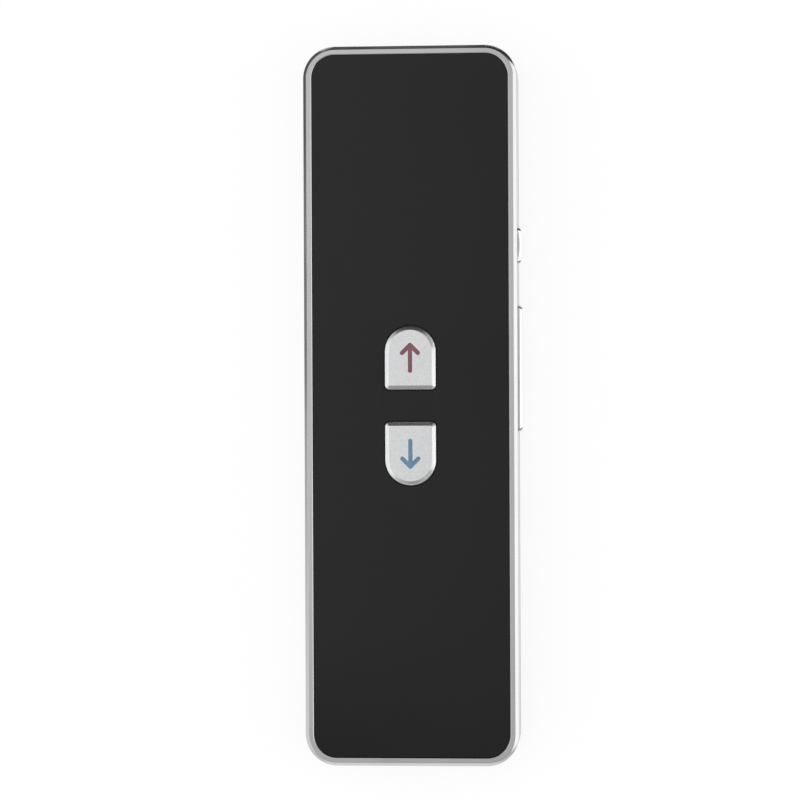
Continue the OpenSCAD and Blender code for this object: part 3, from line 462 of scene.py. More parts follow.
finishes = {
    "plated_frame": {"colour": (0.59, 0.59, 0.595), "patch": (0.63, 0.63, 0.635), "Metallic": 1.0,
                     "roughness": (0.12, 0.17), "grainScale": 9000, "speckle": 0.05, "bump": 0.12,
                     "bumpDepth": 0.006, "cloudScale": 90, "stretch": 4},
    "black_panel": {"colour": (0.004, 0.004, 0.004), "patch": (0.005, 0.005, 0.0048),
                    "Specular IOR Level": 0.37, "roughness": (0.05, 0.09), "grainScale": 700,
                    "speckle": 0.06, "bump": 0.02, "bumpDepth": 0.004, "cloudScale": 35},
    "adhesive": {"colour": (0.8, 0.78, 0.7), "patch": (0.74, 0.72, 0.64), "roughness": (0.75, 0.9),
                 "grainScale": 3500, "speckle": 0.12, "bump": 0.4, "bumpDepth": 0.03},
    "deck_plastic": {"colour": (0.05, 0.05, 0.055), "patch": (0.06, 0.06, 0.064),
                     "roughness": (0.5, 0.62), "grainScale": 4500, "bump": 0.25, "bumpDepth": 0.015},
    "rear_plastic": {"colour": (0.018, 0.018, 0.019), "patch": (0.021, 0.021, 0.022),
                     "roughness": (0.36, 0.42), "grainScale": 3200, "speckle": 0.2, "bump": 0.8,
                     "bumpDepth": 0.035, "cloudScale": 40},
    "steel": {"colour": (0.5, 0.5, 0.51), "patch": (0.42, 0.42, 0.43), "Metallic": 1.0,
              "roughness": (0.24, 0.36), "grainScale": 8000, "bump": 0.15, "bumpDepth": 0.004},
    "black_mesh": {"colour": (0.09, 0.09, 0.093), "patch": (0.12, 0.12, 0.123), "Metallic": 0.8,
                   "roughness": (0.3, 0.4), "grainScale": 9000, "bump": 0.2, "bumpDepth": 0.004},
    "key_metal": {"colour": (0.955, 0.96, 0.97), "patch": (0.94, 0.945, 0.955), "Metallic": 1.0,
                  "roughness": (0.27, 0.29), "grainScale": 4500, "speckle": 0.12, "bump": 0.35,
                  # below its height the key takes the near black foot colour: painted shade for the shade
                  # round its foot in the panel's window
                  "bumpDepth": 0.012, "cloudScale": 220, "paintedShadeHeight": 10.6,
                  "foot": (0.015, 0.015, 0.015)},
    "red_fill": {"colour": (0.38, 0.155, 0.18), "patch": (0.32, 0.125, 0.145), "roughness": (0.4, 0.55),
                 "grainScale": 9000, "speckle": 0.2, "bump": 0.3, "bumpDepth": 0.01, "cloudScale": 500},
    "blue_fill": {"colour": (0.23, 0.43, 0.63), "patch": (0.19, 0.37, 0.55), "roughness": (0.4, 0.55),
                  "grainScale": 9000, "speckle": 0.2, "bump": 0.3, "bumpDepth": 0.01, "cloudScale": 500},
    "side_key_metal": {"colour": (0.8, 0.8, 0.805), "patch": (0.77, 0.77, 0.775), "Metallic": 1.0,
                       "roughness": (0.14, 0.19), "grainScale": 9000, "speckle": 0.06, "bump": 0.15,
                       "bumpDepth": 0.006, "cloudScale": 150},
    "switch_plastic": {"colour": (0.06, 0.06, 0.062), "roughness": (0.45, 0.55)},
    "stem_plastic": {"colour": (0.75, 0.75, 0.72), "patch": (0.7, 0.7, 0.67), "roughness": (0.35, 0.45)},
    "board_green": {"colour": (0.01, 0.09, 0.035), "patch": (0.014, 0.12, 0.045),
                    "roughness": (0.3, 0.42), "cloudScale": 400, "grainScale": 2500, "bump": 0.3,
                    "bumpDepth": 0.02, "Coat Weight": 0.4, "tracks": (0.03, 0.2, 0.08),
                    "pads": (0.85, 0.62, 0.3), "trackPitch": 0.6, "trackRun": 11},
    "board_blue": {"colour": (0.01, 0.03, 0.12), "patch": (0.013, 0.04, 0.16), "roughness": (0.3, 0.4),
                   "cloudScale": 500, "grainScale": 2500, "Coat Weight": 0.4,
                   "tracks": (0.03, 0.09, 0.26), "pads": (0.85, 0.62, 0.3), "trackPitch": 0.45,
                   "trackRun": 4},
    "chip_black": {"colour": (0.018, 0.018, 0.02), "patch": (0.025, 0.025, 0.027),
                   "roughness": (0.5, 0.6), "grainScale": 6000, "bump": 0.4, "bumpDepth": 0.012},
    "ceramic": {"colour": (0.42, 0.3, 0.19), "patch": (0.36, 0.25, 0.15), "roughness": (0.4, 0.5),
                "cloudScale": 900},
    "white_ceramic": {"colour": (0.78, 0.78, 0.76), "patch": (0.72, 0.72, 0.7), "roughness": (0.35, 0.5)},
    "ferrite": {"colour": (0.05, 0.05, 0.052), "patch": (0.07, 0.07, 0.072), "roughness": (0.6, 0.75),
                "grainScale": 4000, "bump": 0.5, "bumpDepth": 0.02},
    "led_cream": {"colour": (0.8, 0.76, 0.6), "patch": (0.76, 0.7, 0.5), "roughness": (0.3, 0.4)},
    "clear_plastic": {"colour": (0.9, 0.92, 0.93), "roughness": (0.06, 0.12), "speckle": 0.03,
                      "Transmission Weight": 0.85, "IOR": 1.49, "bump": 0.05},
    "gold": {"colour": (0.86, 0.6, 0.25), "patch": (0.8, 0.54, 0.2), "Metallic": 1.0,
             "roughness": (0.22, 0.32), "cloudScale": 800},
    "socket_black": {"colour": (0.022, 0.022, 0.023), "patch": (0.03, 0.03, 0.031),
                     "roughness": (0.35, 0.45), "grainScale": 6000},
    "soft_rubber": {"colour": (0.03, 0.03, 0.031), "patch": (0.04, 0.04, 0.041),
                    "roughness": (0.7, 0.85), "Sheen Weight": 0.1, "grainScale": 4000, "bump": 0.3},
    "grey_foam": {"colour": (0.25, 0.25, 0.26), "patch": (0.2, 0.2, 0.21), "roughness": (0.85, 0.95),
                  "grainScale": 1800, "speckle": 0.35, "bump": 0.8, "bumpDepth": 0.08},
    "cell_foil": {"colour": (0.6, 0.6, 0.61), "patch": (0.54, 0.54, 0.55), "Metallic": 0.9,
                  "roughness": (0.22, 0.4), "cloudScale": 120, "grainScale": 600, "speckle": 0.04,
                  "bump": 0.25, "bumpDepth": 0.05},
    "wire_sleeve": {"colour": (0.3, 0.02, 0.02), "patch": (0.24, 0.015, 0.015),
                    "roughness": (0.35, 0.45)},
    "plug_white": {"colour": (0.82, 0.81, 0.77), "patch": (0.78, 0.77, 0.72), "roughness": (0.35, 0.5)},
    "magnet": {"colour": (0.25, 0.25, 0.26), "patch": (0.3, 0.3, 0.31), "Metallic": 1.0,
               "roughness": (0.25, 0.38), "cloudScale": 200},
    "cone_film": {"colour": (0.03, 0.03, 0.032), "patch": (0.045, 0.045, 0.048),
                  "roughness": (0.3, 0.5), "grainScale": 1500, "speckle": 0.2, "bump": 0.4,
                  "bumpDepth": 0.03},
}
grain = grainGroup()
clouds = cloudGroup()
tracks = trackGroup()
materials = {slot: makeMaterial(slot, look) for slot, look in finishes.items()}
print("materials:", len(materials))


def dress(piece, slot, rides, node, sharp=40):
    # shades a finished piece, gives it its finish and puts it in its CAD node's place
    mesh = piece.data
    mesh.materials.clear()
    mesh.materials.append(materials[slot])
    for face in mesh.polygons:
        face.material_index = 0
    mesh.shade_smooth()
    mesh.set_sharp_from_angle(angle=math.radians(sharp))
    weigh = piece.modifiers.new("flatFaces", "WEIGHTED_NORMAL")
    weigh.keep_sharp = True
    bakeModifiers(piece)
    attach(piece, rides)
    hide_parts(node)


# every CAD node gets its finish, also those inside
for part in frame["record"]["subparts"]:
    node = frame["nodes"][part["node"]]
    node.data.materials.clear()
    node.data.materials.append(materials[part["material_slot"]])


# profile carried round the body's outline

def outlineTree():
    tree, entry = geometryTree("profileRoundOutline", [
        ("Width", "Float", 0.04), ("Length", "Float", 0.1), ("Corner Radius", "Float", 0.006),
        ("Corner Steps", "Int", 12), ("Profile", "Object"),
    ])
    path = nodeOut(tree, "GeometryNodeCurvePrimitiveQuadrilateral", {
        "Width": entry["Width"], "Height": entry["Length"],
    }, mode="RECTANGLE")
    rounded = nodeOut(tree, "GeometryNodeFilletCurve", {
        "Curve": path, "Radius": entry["Corner Radius"], "Count": entry["Corner Steps"],
    }, mode="POLY")
    upright = nodeOut(tree, "GeometryNodeSetCurveNormal", {"Curve": rounded}, mode="Z_UP")
    shape = nodeOut(tree, "GeometryNodeObjectInfo", {"Object": entry["Profile"]}, "Geometry")
    line = nodeOut(tree, "GeometryNodeMeshToCurve", {"Mesh": shape})
    sweep = nodeOut(tree, "GeometryNodeCurveToMesh", {"Curve": upright, "Profile Curve": line})
    merged = nodeOut(tree, "GeometryNodeMergeByDistance", {
        "Geometry": sweep, "Distance": joining["merge"] * mm,
    })
    return endGeometry(tree, merged, entry)


outline = outlineTree()


def carryRound(name, profile, slot, closed):
    # profile points are (distance in from the outer wall, height)
    points = [(-d, -z, 0) for d, z in profile]
    edges = [(i, i + 1) for i in range(len(points) - 1)]
    if closed:
        edges.append((len(points) - 1, 0))
    line = meshFrom(name + "Line", points, [], edges)
    piece = runTree(name, outline, slot, {
        "Width": 2 * body["halfWidth"],
        "Length": 2 * body["halfLength"],
        "Corner Radius": body["cornerRadius"],
    }, {"Corner Steps": body["cornerSteps"], "Profile": line})
    bpy.data.objects.remove(line)

    def close(work):
        rims = openRims(work)
        if rims:
            bmesh.ops.holes_fill(work, edges=rims, sides=0)
        mergeAndTurnOut(work)
    editMesh(piece, close)
    return piece


# frame

frameLook = {
    "lip": 1.65,                 # width from the outer wall to the panel's pocket
    "chamfer": 0.7,
    "innerChamfer": 0.12,
    "deckSeat": 8.7,
    "ledge": (0.9, 0.8),         # width and thickness
    "earHalf": (1.46, 1.2),      # of the two ears that hold the rocker's pin
    "earMiddle": (18.21, 7.2),
    "earCorner": 0.05,
    "earThick": 0.6,
    "earPlaces": (3.4, 6.9),
    "pinHole": (3, 8, 0.42),     # from, to and radius
    "slotRadius": 1.4,
    "slotCut": (19.0, 22),
    "socketSlot": (7.9, 2.9, 0.65),
    "socketHeight": 5.15,
    "soundHole": (9.0, 4.7, 0.5),
    "endCut": (-72, -67.5),
    "rimBevel": 0.1,             # round the openings in the side and the end
    "rimMargin": 0.3,            # how far those lie from the frame's own edges
}


def buildFrame(look):
    wall, low, top = look["lip"], body["partingLine"], body["top"]
    seat = look["deckSeat"]
    reach, thick = look["ledge"]
    profile = roundCorners([
        (0, low, 0.12), (0, top - look["chamfer"], 0.2), (look["chamfer"], top, 0.16),
        (wall - look["innerChamfer"], top, 0.08), (wall, top - look["innerChamfer"], 0.06),
        (wall, seat, 0), (wall + reach, seat, 0.05), (wall + reach, seat - thick, 0.05),
        (wall, seat - thick, 0), (wall, low, 0.1),
    ])
    piece = carryRound("frameBand", profile, "plated_frame", True)
    earShape = roundedRectangle(*look["earHalf"], look["earCorner"], steps=2)
    earShape = shifted(earShape, *look["earMiddle"])
    ears = [prism("ear", earShape, z, z + look["earThick"]) for z in look["earPlaces"]]
    joinSolids(piece, ears, "UNION")
    cutters = []
    gap = sideKeys["gap"]
    for middle, length in (sideKeys["power"], sideKeys["rocker"]):
        hole = roundedRectangle(length / 2 + gap, sideKeys["width"] / 2 + gap, look["slotRadius"],
                                steps=10)
        cutters.append(prism("slot", shifted(hole, middle, sideKeys["height"]), *look["slotCut"], "x"))
    width, height, radius = look["socketSlot"]
    hole = roundedRectangle(width / 2, height / 2, radius, steps=8)
    cutters.append(prism("socketSlot", shifted(hole, 0, look["socketHeight"]), *look["endCut"], "y"))
    x, z, radius = look["soundHole"]
    cutters.append(roundBar("soundHole", x, z, *look["endCut"], radius, steps=28, axis="y"))
    x, y = sideKeys["pinPlace"], sideKeys["rocker"][0]
    cutters.append(roundBar("pinHole", x, y, *look["pinHole"], steps=20))
    joinSolids(piece, cutters)

    def openingRim(a, b):
        side = min(a.x, b.x) > body["halfWidth"] - 2 * joining["touch"]
        end = max(a.y, b.y) < 2 * joining["touch"] - body["halfLength"]
        above = min(a.z, b.z) > low + look["rimMargin"]
        below = max(a.z, b.z) < top - look["chamfer"] - look["rimMargin"]
        return (side or end) and above and below
    bevelWhere(piece, openingRim, look["rimBevel"])
    dress(piece, "plated_frame", housing, "frame")


buildFrame(frameLook)
print("frame: done")


# front panel with its two key windows

keyLook = {
    "halfWidth": 4.95,
    "halfLength": 6.15,
    "cornerRadius": 0.9,
    "middle": 9.3,               # from the body's centre to a key's centre
    "bevelWidth": 0.75,
    "bevelHeight": 0.6,
    "flange": (9.3, 9.8, 0.8),   # from, to and reach
    "nib": (1.5, 0.25),          # radius and depth of the stud that presses the switch
    "face": 11.9,
    "engraving": 0.14,
    "paintSink": 0.04,
    "stroke": 0.8,
    "mark": (3.9, 5.8),
    "markReach": 2.3,            # only the mark lies this near the key's long axis
    "markBevel": 0.05,
    "paintBevel": 0.03,
}


def keyOutline(grow, upper, archSteps=44, cornerSteps=8):
    # the upper key's arch points to the top end; the lower key is the upper one turned round
    half = keyLook["halfWidth"]
    radius = keyLook["cornerRadius"] + grow
    archY = keyLook["middle"] + keyLook["halfLength"] - half
    footY = keyLook["middle"] - keyLook["halfLength"] - grow + radius
    sideX = half + grow - radius
    points = arcPoints(sideX, footY, radius, -90, 0, cornerSteps)
    points += arcPoints(0, archY, half + grow, 0, 180, archSteps)
    points += arcPoints(-sideX, footY, radius, 180, 270, cornerSteps)
    return points if upper else turnedRound(points)


panelLook = {"top": 10.9, "bottom": 9.9, "inset": 1.7, "windowGap": 0.2, "rim": 0.12}


def buildPanel(look):
    top, bottom, rim = look["top"], look["bottom"], look["rim"]
    levels = [(0, bottom)] + [(t, top - h) for t, h in arcPoints(rim, rim, rim, 180, 270, steps=4)]
    walls = (
        lambda inset: bodyOutline(look["inset"] + inset),
        lambda inset: keyOutline(look["windowGap"] + inset, True),
        lambda inset: keyOutline(look["windowGap"] + inset, False),
    )
    points, faces = [], []
    for outlineAt in walls:
        faces += wallFaces(len(outlineAt(0)), len(levels), len(points))
        for inset, z in levels:
            points += atHeight(outlineAt(inset), z)
    piece = meshFrom("glossPanel", points, faces)

    def fill(work):
        rims = openRims(work)
        for level in (top, bottom):
            ring = [e for e in rims if all(abs(v.co.z / mm - level) < joining["touch"] for v in e.verts)]
            bmesh.ops.triangle_fill(work, use_beauty=True, use_dissolve=False, edges=ring)
        mergeAndTurnOut(work)
    editMesh(piece, fill)
    dress(piece, "black_panel", housing, "front_panel", sharp=60)


buildPanel(panelLook)
print("front panel: done")


# front keys and the paint in their marks

def markSolid(name, upper, low, high):
    # an arrow of three round-ended strokes
    width, length = keyLook["mark"]
    half = keyLook["stroke"] / 2
    tip, barb = length / 2 - half, width / 2 - half
    solids = []
    for x, y in ((0, -tip), (barb, tip - barb), (-barb, tip - barb)):
        turn = math.degrees(math.atan2(tip - y, -x))
        stroke = arcPoints(0, tip, half, turn - 90, turn + 90, steps=14)
        stroke += arcPoints(x, y, half, turn + 90, turn + 270, steps=14)
        stroke = shifted(stroke, 0, keyLook["middle"])
        solids.append(prism(name, stroke if upper else turnedRound(stroke), low, high))
    joinSolids(solids[0], solids[1:], "UNION")
    return solids[0]


def buildKey(name, upper, rides, node):
    face = keyLook["face"]
    low, high, reach = keyLook["flange"]
    wide, tall = keyLook["bevelWidth"], keyLook["bevelHeight"]
    profile = roundCorners([
        (-reach, low, 0), (-reach, high, 0.06), (0, high, 0), (0, face - tall, 0.14),
        (wide, face, 0.24), (2, face, 0),
    ])[:-1]                      # the last corner only leads the rounding on to the face
    piece = stackLoops(name, [atHeight(keyOutline(-inset, upper), z) for inset, z in profile])
    radius, depth = keyLook["nib"]
    middle = keyLook["middle"] if upper else -keyLook["middle"]
    joinSolids(piece, [roundBar("nib", 0, middle, low - depth, low + joining["bite"], radius)], "UNION")
    low, high = face - keyLook["engraving"], face + joining["clear"]
    joinSolids(piece, [markSolid("engraving", upper, low, high)])

    def markRim(a, b):
        return max(abs(a.x), abs(b.x)) < keyLook["markReach"] and min(a.z, b.z) > face - joining["touch"]
    bevelWhere(piece, markRim, keyLook["markBevel"])
    dress(piece, "key_metal", rides, node)


def buildPaint(name, upper, rides, node, slot):
    low, high = keyLook["face"] - keyLook["engraving"], keyLook["face"] - keyLook["paintSink"]
    piece = markSolid(name, upper, low, high)
    bevelWhere(piece, lambda a, b: min(a.z, b.z) > high - joining["touch"], keyLook["paintBevel"])
    dress(piece, slot, rides, node)


buildKey("upperKey", True, "upper_key", "upper_key_cap")
buildKey("lowerKey", False, "lower_key", "lower_key_cap")
buildPaint("upperArrow", True, "upper_key", "upper_key_mark", "red_fill")
buildPaint("lowerArrow", False, "lower_key", "lower_key_mark", "blue_fill")
print("front keys: done")


# side keys

sideKeyLook = {
    "cornerRadius": 1.25,
    "chamfer": 0.5,              # round the outer face
    "edge": 0.08,                # rounding of the chamfer's two rims
    "lead": 0.2,                 # plain stretch before and after the chamfer
    "faceRing": 1.05,            # one more ring on the outer face
    "sliver": 0.006,             # half the width that is left where the rings meet
    "leastRadius": 0.004,
    "cornerSteps": 6,
    "along": 36,                 # stretches along a long side
    "back": 18.5,
    "nib": (0.65, 0.3),          # half width and depth of a stud that presses a switch
}
powerLook = {"crest": 21.65, "endDrop": 0.55, "flange": (0.55, 0.5)}
rockerLook = {
    "crest": 21.6,
    "endDrop": 0.4,
    "ramp": 1.3,                 # length of the slope down to each end
    "rampBend": 1.6,
    "nibs": 9.0,                 # from the middle to each switch
    "lug": (1.2, 0.85),          # half width, and radius round the pin
    "pinHole": (0.45, 2),        # radius and half length
}


def crestCurve(look, half):
    drop = look["endDrop"]
    bow = (half * half + drop * drop) / (2 * drop)
    return lambda y: look["crest"] - bow + math.sqrt(max(bow * bow - y * y, 0))


def crestRamps(look, half):
    ramp = look["ramp"]

    def at(y):
        share = min(max((abs(y) - half + ramp) / ramp, 0), 1)
        return look["crest"] - look["endDrop"] * share ** look["rampBend"]
    return at


def sideKeyBody(name, look, which, crestShape):
    key = sideKeyLook
    middle, length = sideKeys[which]
    half, rise = length / 2, sideKeys["width"] / 2
    chamfer, edge, lead = key["chamfer"], key["edge"], key["lead"]
    along, back = key["along"], key["back"]
    crest = crestShape(look, half)

    def ringAt(inset):
        # a rounded oblong with points along its long sides, so that it can follow the crest
        radius = max(key["cornerRadius"] - inset, key["leastRadius"])
        y, z = half - inset - radius, max(rise - inset - radius, 0)
        ring = []
        for turn, (cy, cz) in enumerate(((y, z), (-y, z), (-y, -z), (y, -z))):
            ring += arcPoints(cy, cz, radius, 90 * turn, 90 * turn + 90, key["cornerSteps"])
            if turn in (0, 2):
                side = 1 - turn
                ring += [(side * y * (1 - 2 * k / along), cz + side * radius) for k in range(1, along)]
        return ring

    def placed(inset, outTo):
        return [(outTo(y), y + middle, z + sideKeys["height"]) for y, z in ringAt(inset)]
    rings = [placed(0, lambda y: back)]
    if "flange" in look:
        thick, reach = look["flange"]
        rings = [placed(-reach, lambda y: back), placed(-reach, lambda y: back + thick),
                 placed(0, lambda y: back + thick)]
    rim = roundCorners([
        (0, chamfer + lead, 0), (0, chamfer, edge), (chamfer, 0, edge), (chamfer + lead, 0, 0),
        (key["faceRing"], 0, 0), (rise - key["sliver"], 0, 0),
    ])
    rings += [placed(inset, lambda y: crest(y) - drop) for inset, drop in rim]
    return stackLoops(name, rings)


def switchNib(y):
    half, depth = sideKeyLook["nib"]
    back, z = sideKeyLook["back"], sideKeys["height"]
    low = (back - depth, y - half, z - half)
    return boxSolid("nib", low, (back + joining["bite"], y + half, z + half))


def buildPowerKey(look):
    piece = sideKeyBody("powerKey", look, "power", crestCurve)
    joinSolids(piece, [switchNib(sideKeys["power"][0])], "UNION")
    dress(piece, "side_key_metal", "power_key", "power_key_cap")


def buildRocker(look):
    piece = sideKeyBody("volumeRocker", look, "rocker", crestRamps)
    y, z, rise = sideKeys["rocker"][0], sideKeys["height"], sideKeys["width"] / 2
    x, inside = sideKeys["pinPlace"], sideKeyLook["back"] + joining["bite"]
    half, radius = look["lug"]
    parts = [switchNib(y - look["nibs"]), switchNib(y + look["nibs"])]
    parts.append(boxSolid("lug", (x, y - half, z - rise), (inside, y + half, z + rise)))
    parts.append(roundBar("lugEnd", x, y, z - rise, z + rise, radius, steps=32))
    joinSolids(piece, parts, "UNION")
    radius, half = look["pinHole"]
    joinSolids(piece, [roundBar("pinHole", x, y, z - half, z + half, radius, steps=24)])
    dress(piece, "side_key_metal", "volume_rocker", "volume_rocker_cap")


buildPowerKey(powerLook)
buildRocker(rockerLook)
print("side keys: done")


# speaker grille: holes in a honeycomb, and the woven screen behind them

grilleLook = {
    "middle": 47.0,
    "pitch": 1.9,
    "reach": 7.2,
    "rows": 11,
    "holeRadius": 0.55,
    "pinLength": 4,              # of the pins that cut the holes
    "screenRadius": 8.4,
    "screenPitch": 0.3,
    "wire": 0.03,
    "wave": 0.028,
    "ringWidth": 0.9,
    "screenHeight": (1.2, 1.32),
}


def honeycombTree():
    tree, entry = geometryTree("honeycombOfPins", [
        ("Pitch", "Float", 0.002), ("Reach", "Float", 0.007), ("Rows", "Int", 11),
        ("Pin Radius", "Float", 0.0005), ("Pin Length", "Float", 0.004),
    ])
    work = partial(mathNode, tree)
    pitch, rows = entry["Pitch"], entry["Rows"]
    rowPitch = work("MULTIPLY", pitch, math.sin(math.radians(60)))
    gaps = work("SUBTRACT", rows, 1)
    grid = nodeOut(tree, "GeometryNodeMeshGrid", {
        "Size X": work("MULTIPLY", gaps, pitch), "Size Y": work("MULTIPLY", gaps, rowPitch),
        "Vertices X": rows, "Vertices Y": rows,
    })
    row = work("ROUND", work("DIVIDE", partsOf(tree, pointPlace(tree))["Y"], rowPitch))
    odd = work("ABSOLUTE", work("MODULO", row, 2))
    push = vectorOf(tree, X=work("MULTIPLY", odd, work("MULTIPLY", pitch, 0.5)))
    moved = nodeOut(tree, "GeometryNodeSetPosition", {"Geometry": grid, "Offset": push})
    distance = vectorMath(tree, "LENGTH", "Value", pointPlace(tree))
    kept = nodeOut(tree, "GeometryNodeDeleteGeometry", {
        "Geometry": moved, "Selection": work("GREATER_THAN", distance, entry["Reach"]),
    }, domain="POINT")
    pin = nodeOut(tree, "GeometryNodeMeshCylinder", {
        "Vertices": 24, "Radius": entry["Pin Radius"], "Depth": entry["Pin Length"],
    })
    pins = nodeOut(tree, "GeometryNodeInstanceOnPoints", {"Points": kept, "Instance": pin})
    return endGeometry(tree, pins, entry)


def screenTree():
    # round wires in two directions that pass over and under each other, in a flat ring
    tree, entry = geometryTree("wovenScreen", [
        ("Radius", "Float", 0.008), ("Pitch", "Float", 0.0003), ("Wire Radius", "Float", 0.00003),
        ("Wave", "Float", 0.00003), ("Ring Width", "Float", 0.0008), ("Ring Height", "Float", 0.0001),
    ])
    work = partial(mathNode, tree)
    pitch = entry["Pitch"]
    ringMiddle = work("SUBTRACT", entry["Radius"], work("MULTIPLY", entry["Ring Width"], 0.5))
    perSide = work("FLOOR", work("DIVIDE", ringMiddle, pitch))
    rows = nodeOut(tree, "GeometryNodeMeshLine", {
        "Count": work("ADD", work("MULTIPLY", perSide, 2), 1),
        "Start Location": vectorOf(tree, Y=work("MULTIPLY", work("MULTIPLY", perSide, pitch), -1)),
        "Offset": vectorOf(tree, Y=pitch),
    }, mode="OFFSET")
    offset = work("ABSOLUTE", partsOf(tree, pointPlace(tree))["Y"])
    chord = work("SQRT", work("SUBTRACT", work("POWER", ringMiddle, 2), work("POWER", offset, 2)))
    straight = nodeOut(tree, "GeometryNodeCurvePrimitiveLine", {"Start": (-1, 0, 0), "End": (1, 0, 0)})
    copies = nodeOut(tree, "GeometryNodeInstanceOnPoints", {
        "Points": rows, "Instance": straight, "Scale": vectorOf(tree, X=chord, Y=1, Z=1),
    })
    lay = nodeOut(tree, "GeometryNodeRealizeInstances", {"Geometry": copies})
    fine = nodeOut(tree, "GeometryNodeResampleCurve", {
        "Curve": lay, "Length": work("DIVIDE", pitch, 3),
    }, mode="LENGTH")
    at = partsOf(tree, pointPlace(tree))
    turns = work("DIVIDE", math.pi, pitch)
    waveX, waveY = [work("COSINE", work("MULTIPLY", at[axis], turns)) for axis in "XY"]
    lift = work("MULTIPLY", work("MULTIPLY", waveX, waveY), entry["Wave"])
    bent = nodeOut(tree, "GeometryNodeSetPosition", {"Geometry": fine, "Offset": vectorOf(tree, Z=lift)})
    section = nodeOut(tree, "GeometryNodeCurvePrimitiveCircle", {
        "Resolution": 4, "Radius": entry["Wire Radius"],
    })
    wires = nodeOut(tree, "GeometryNodeCurveToMesh", {
        "Curve": bent, "Profile Curve": section, "Fill Caps": True,
    })
    cross = nodeOut(tree, "GeometryNodeTransform", {
        "Geometry": wires, "Rotation": (math.pi, 0, math.pi / 2),
    })
    ringPath = nodeOut(tree, "GeometryNodeCurvePrimitiveCircle", {"Resolution": 96, "Radius": ringMiddle})
    ringSection = nodeOut(tree, "GeometryNodeCurvePrimitiveQuadrilateral", {
        "Width": entry["Ring Width"], "Height": entry["Ring Height"],
    }, mode="RECTANGLE")
    ring = nodeOut(tree, "GeometryNodeCurveToMesh", {"Curve": ringPath, "Profile Curve": ringSection})
    together = addNode(tree, "GeometryNodeJoinGeometry")
    for part in (ring, cross, wires):
        tree.links.new(part, together.inputs["Geometry"])
    return endGeometry(tree, together.outputs["Geometry"], entry)


def placeMesh(piece, x, y, z):
    piece.data.transform(Matrix.Translation((x * mm, y * mm, z * mm)))


def buildScreen(look):
    low, high = look["screenHeight"]
    piece = runTree("grilleScreen", screenTree(), "black_mesh", {
        "Radius": look["screenRadius"],
        "Pitch": look["screenPitch"],
        "Wire Radius": look["wire"],
        "Wave": look["wave"],
        "Ring Width": look["ringWidth"],
        "Ring Height": high - low,
    }, {})
    placeMesh(piece, 0, look["middle"], (low + high) / 2)
    editMesh(piece, mergeAndTurnOut)
    dress(piece, "black_mesh", housing, "grille_mesh")


buildScreen(grilleLook)
print("grille screen: done")


# rear cover

coverLook = {
    "edgeRadius": 2.0,
    "floor": 1.2,
    "tongue": (1.75, 2.55, 3.3),  # from, to and height of the rim inside the frame
    "boss": (2.2, 4.8),           # radius and height
    "foot": 0.6,                  # how deep in the floor the bosses and the collar start
    "screwHole": (0.9, 6),        # radius and top
    "headHole": (1.65, 0.9),
    "collar": (10.85, 3.6),       # round the speaker
    "collarBore": (10.05, 5),
    "notch": ((17.0, 5.5), (19.1, 8.9), 4),
    "rimBevel": 0.1,
}


def buildCover(look):
    edge, floor, parting = look["edgeRadius"], look["floor"], body["partingLine"]
    outer, inner, tip = look["tongue"]
    profile = [(edge, 0)]
    profile += [(edge - a, edge - b) for a, b in arcPoints(0, 0, edge, 90, 0, steps=14)][1:]
    profile += roundCorners([(0, 1, 0), (0, parting, 0.12), (outer, parting, 0), (outer, tip, 0.1),
                             (inner, tip, 0.1), (inner, floor, 0)])[1:]
    piece = carryRound("rearCover", profile, "rear_plastic", False)
    middle, foot = grilleLook["middle"], look["foot"]
    x, y = body["screws"]
    corners = [(sx * x, sy * y) for sx in (-1, 1) for sy in (-1, 1)]
    radius, high = look["boss"]
    bosses = [roundBar("boss", cx, cy, foot, high, radius) for cx, cy in corners]
    radius, high = look["collar"]
    collar = roundBar("collar", 0, middle, foot, high, radius, steps=96)
    radius, high = look["collarBore"]
    bore = roundBar("bore", 0, middle, floor - joining["clear"], high, radius, steps=96)
    joinSolids(collar, [bore])
    joinSolids(piece, bosses + [collar], "UNION")
    cutters = []
    for cx, cy in corners:
        for (radius, high), steps in ((look["screwHole"], 32), (look["headHole"], 48)):
            cutters.append(roundBar("screwCut", cx, cy, -joining["clear"], high, radius, steps))
    near, far, high = look["notch"]
    cutters.append(boxSolid("notch", (*near, parting), (*far, high)))
    holes = runTree("grilleHoles", honeycombTree(), "rear_plastic", {
        "Pitch": grilleLook["pitch"],
        "Reach": grilleLook["reach"],
        "Pin Radius": grilleLook["holeRadius"],
        "Pin Length": grilleLook["pinLength"],
    }, {"Rows": grilleLook["rows"]})
    placeMesh(holes, 0, middle, 0)
    joinSolids(piece, cutters + [holes])
    bevelWhere(piece, lambda a, b: max(a.z, b.z) < joining["touch"], look["rimBevel"])
    dress(piece, "rear_plastic", housing, "rear_cover")


buildCover(coverLook)
print("rear cover: done")


# rear screws

screwLook = {
    "sink": 0.2,
    "headRadius": 1.5,
    "headHeight": 0.7,
    "headChamfer": 0.25,
    "shaftRadius": 0.8,
    "tip": 7.9,
    "tipRadius": 0.3,
    "tipTaper": 0.5,
    "axis": 0.01,                # radius at which the turned shape is closed
    "recess": (0.78, 0.34, 0.5), # reach, width and depth of the cross
    "recessShares": (1.1, 0.15), # of its reach, above the head and at the bottom
    "recessThins": (0.7, 0.3),   # its width keeps the first part and loses of the second
    "recessRim": 1,              # the recess lies within this radius
    "recessBevel": 0.04,
    "seed": 7,
}


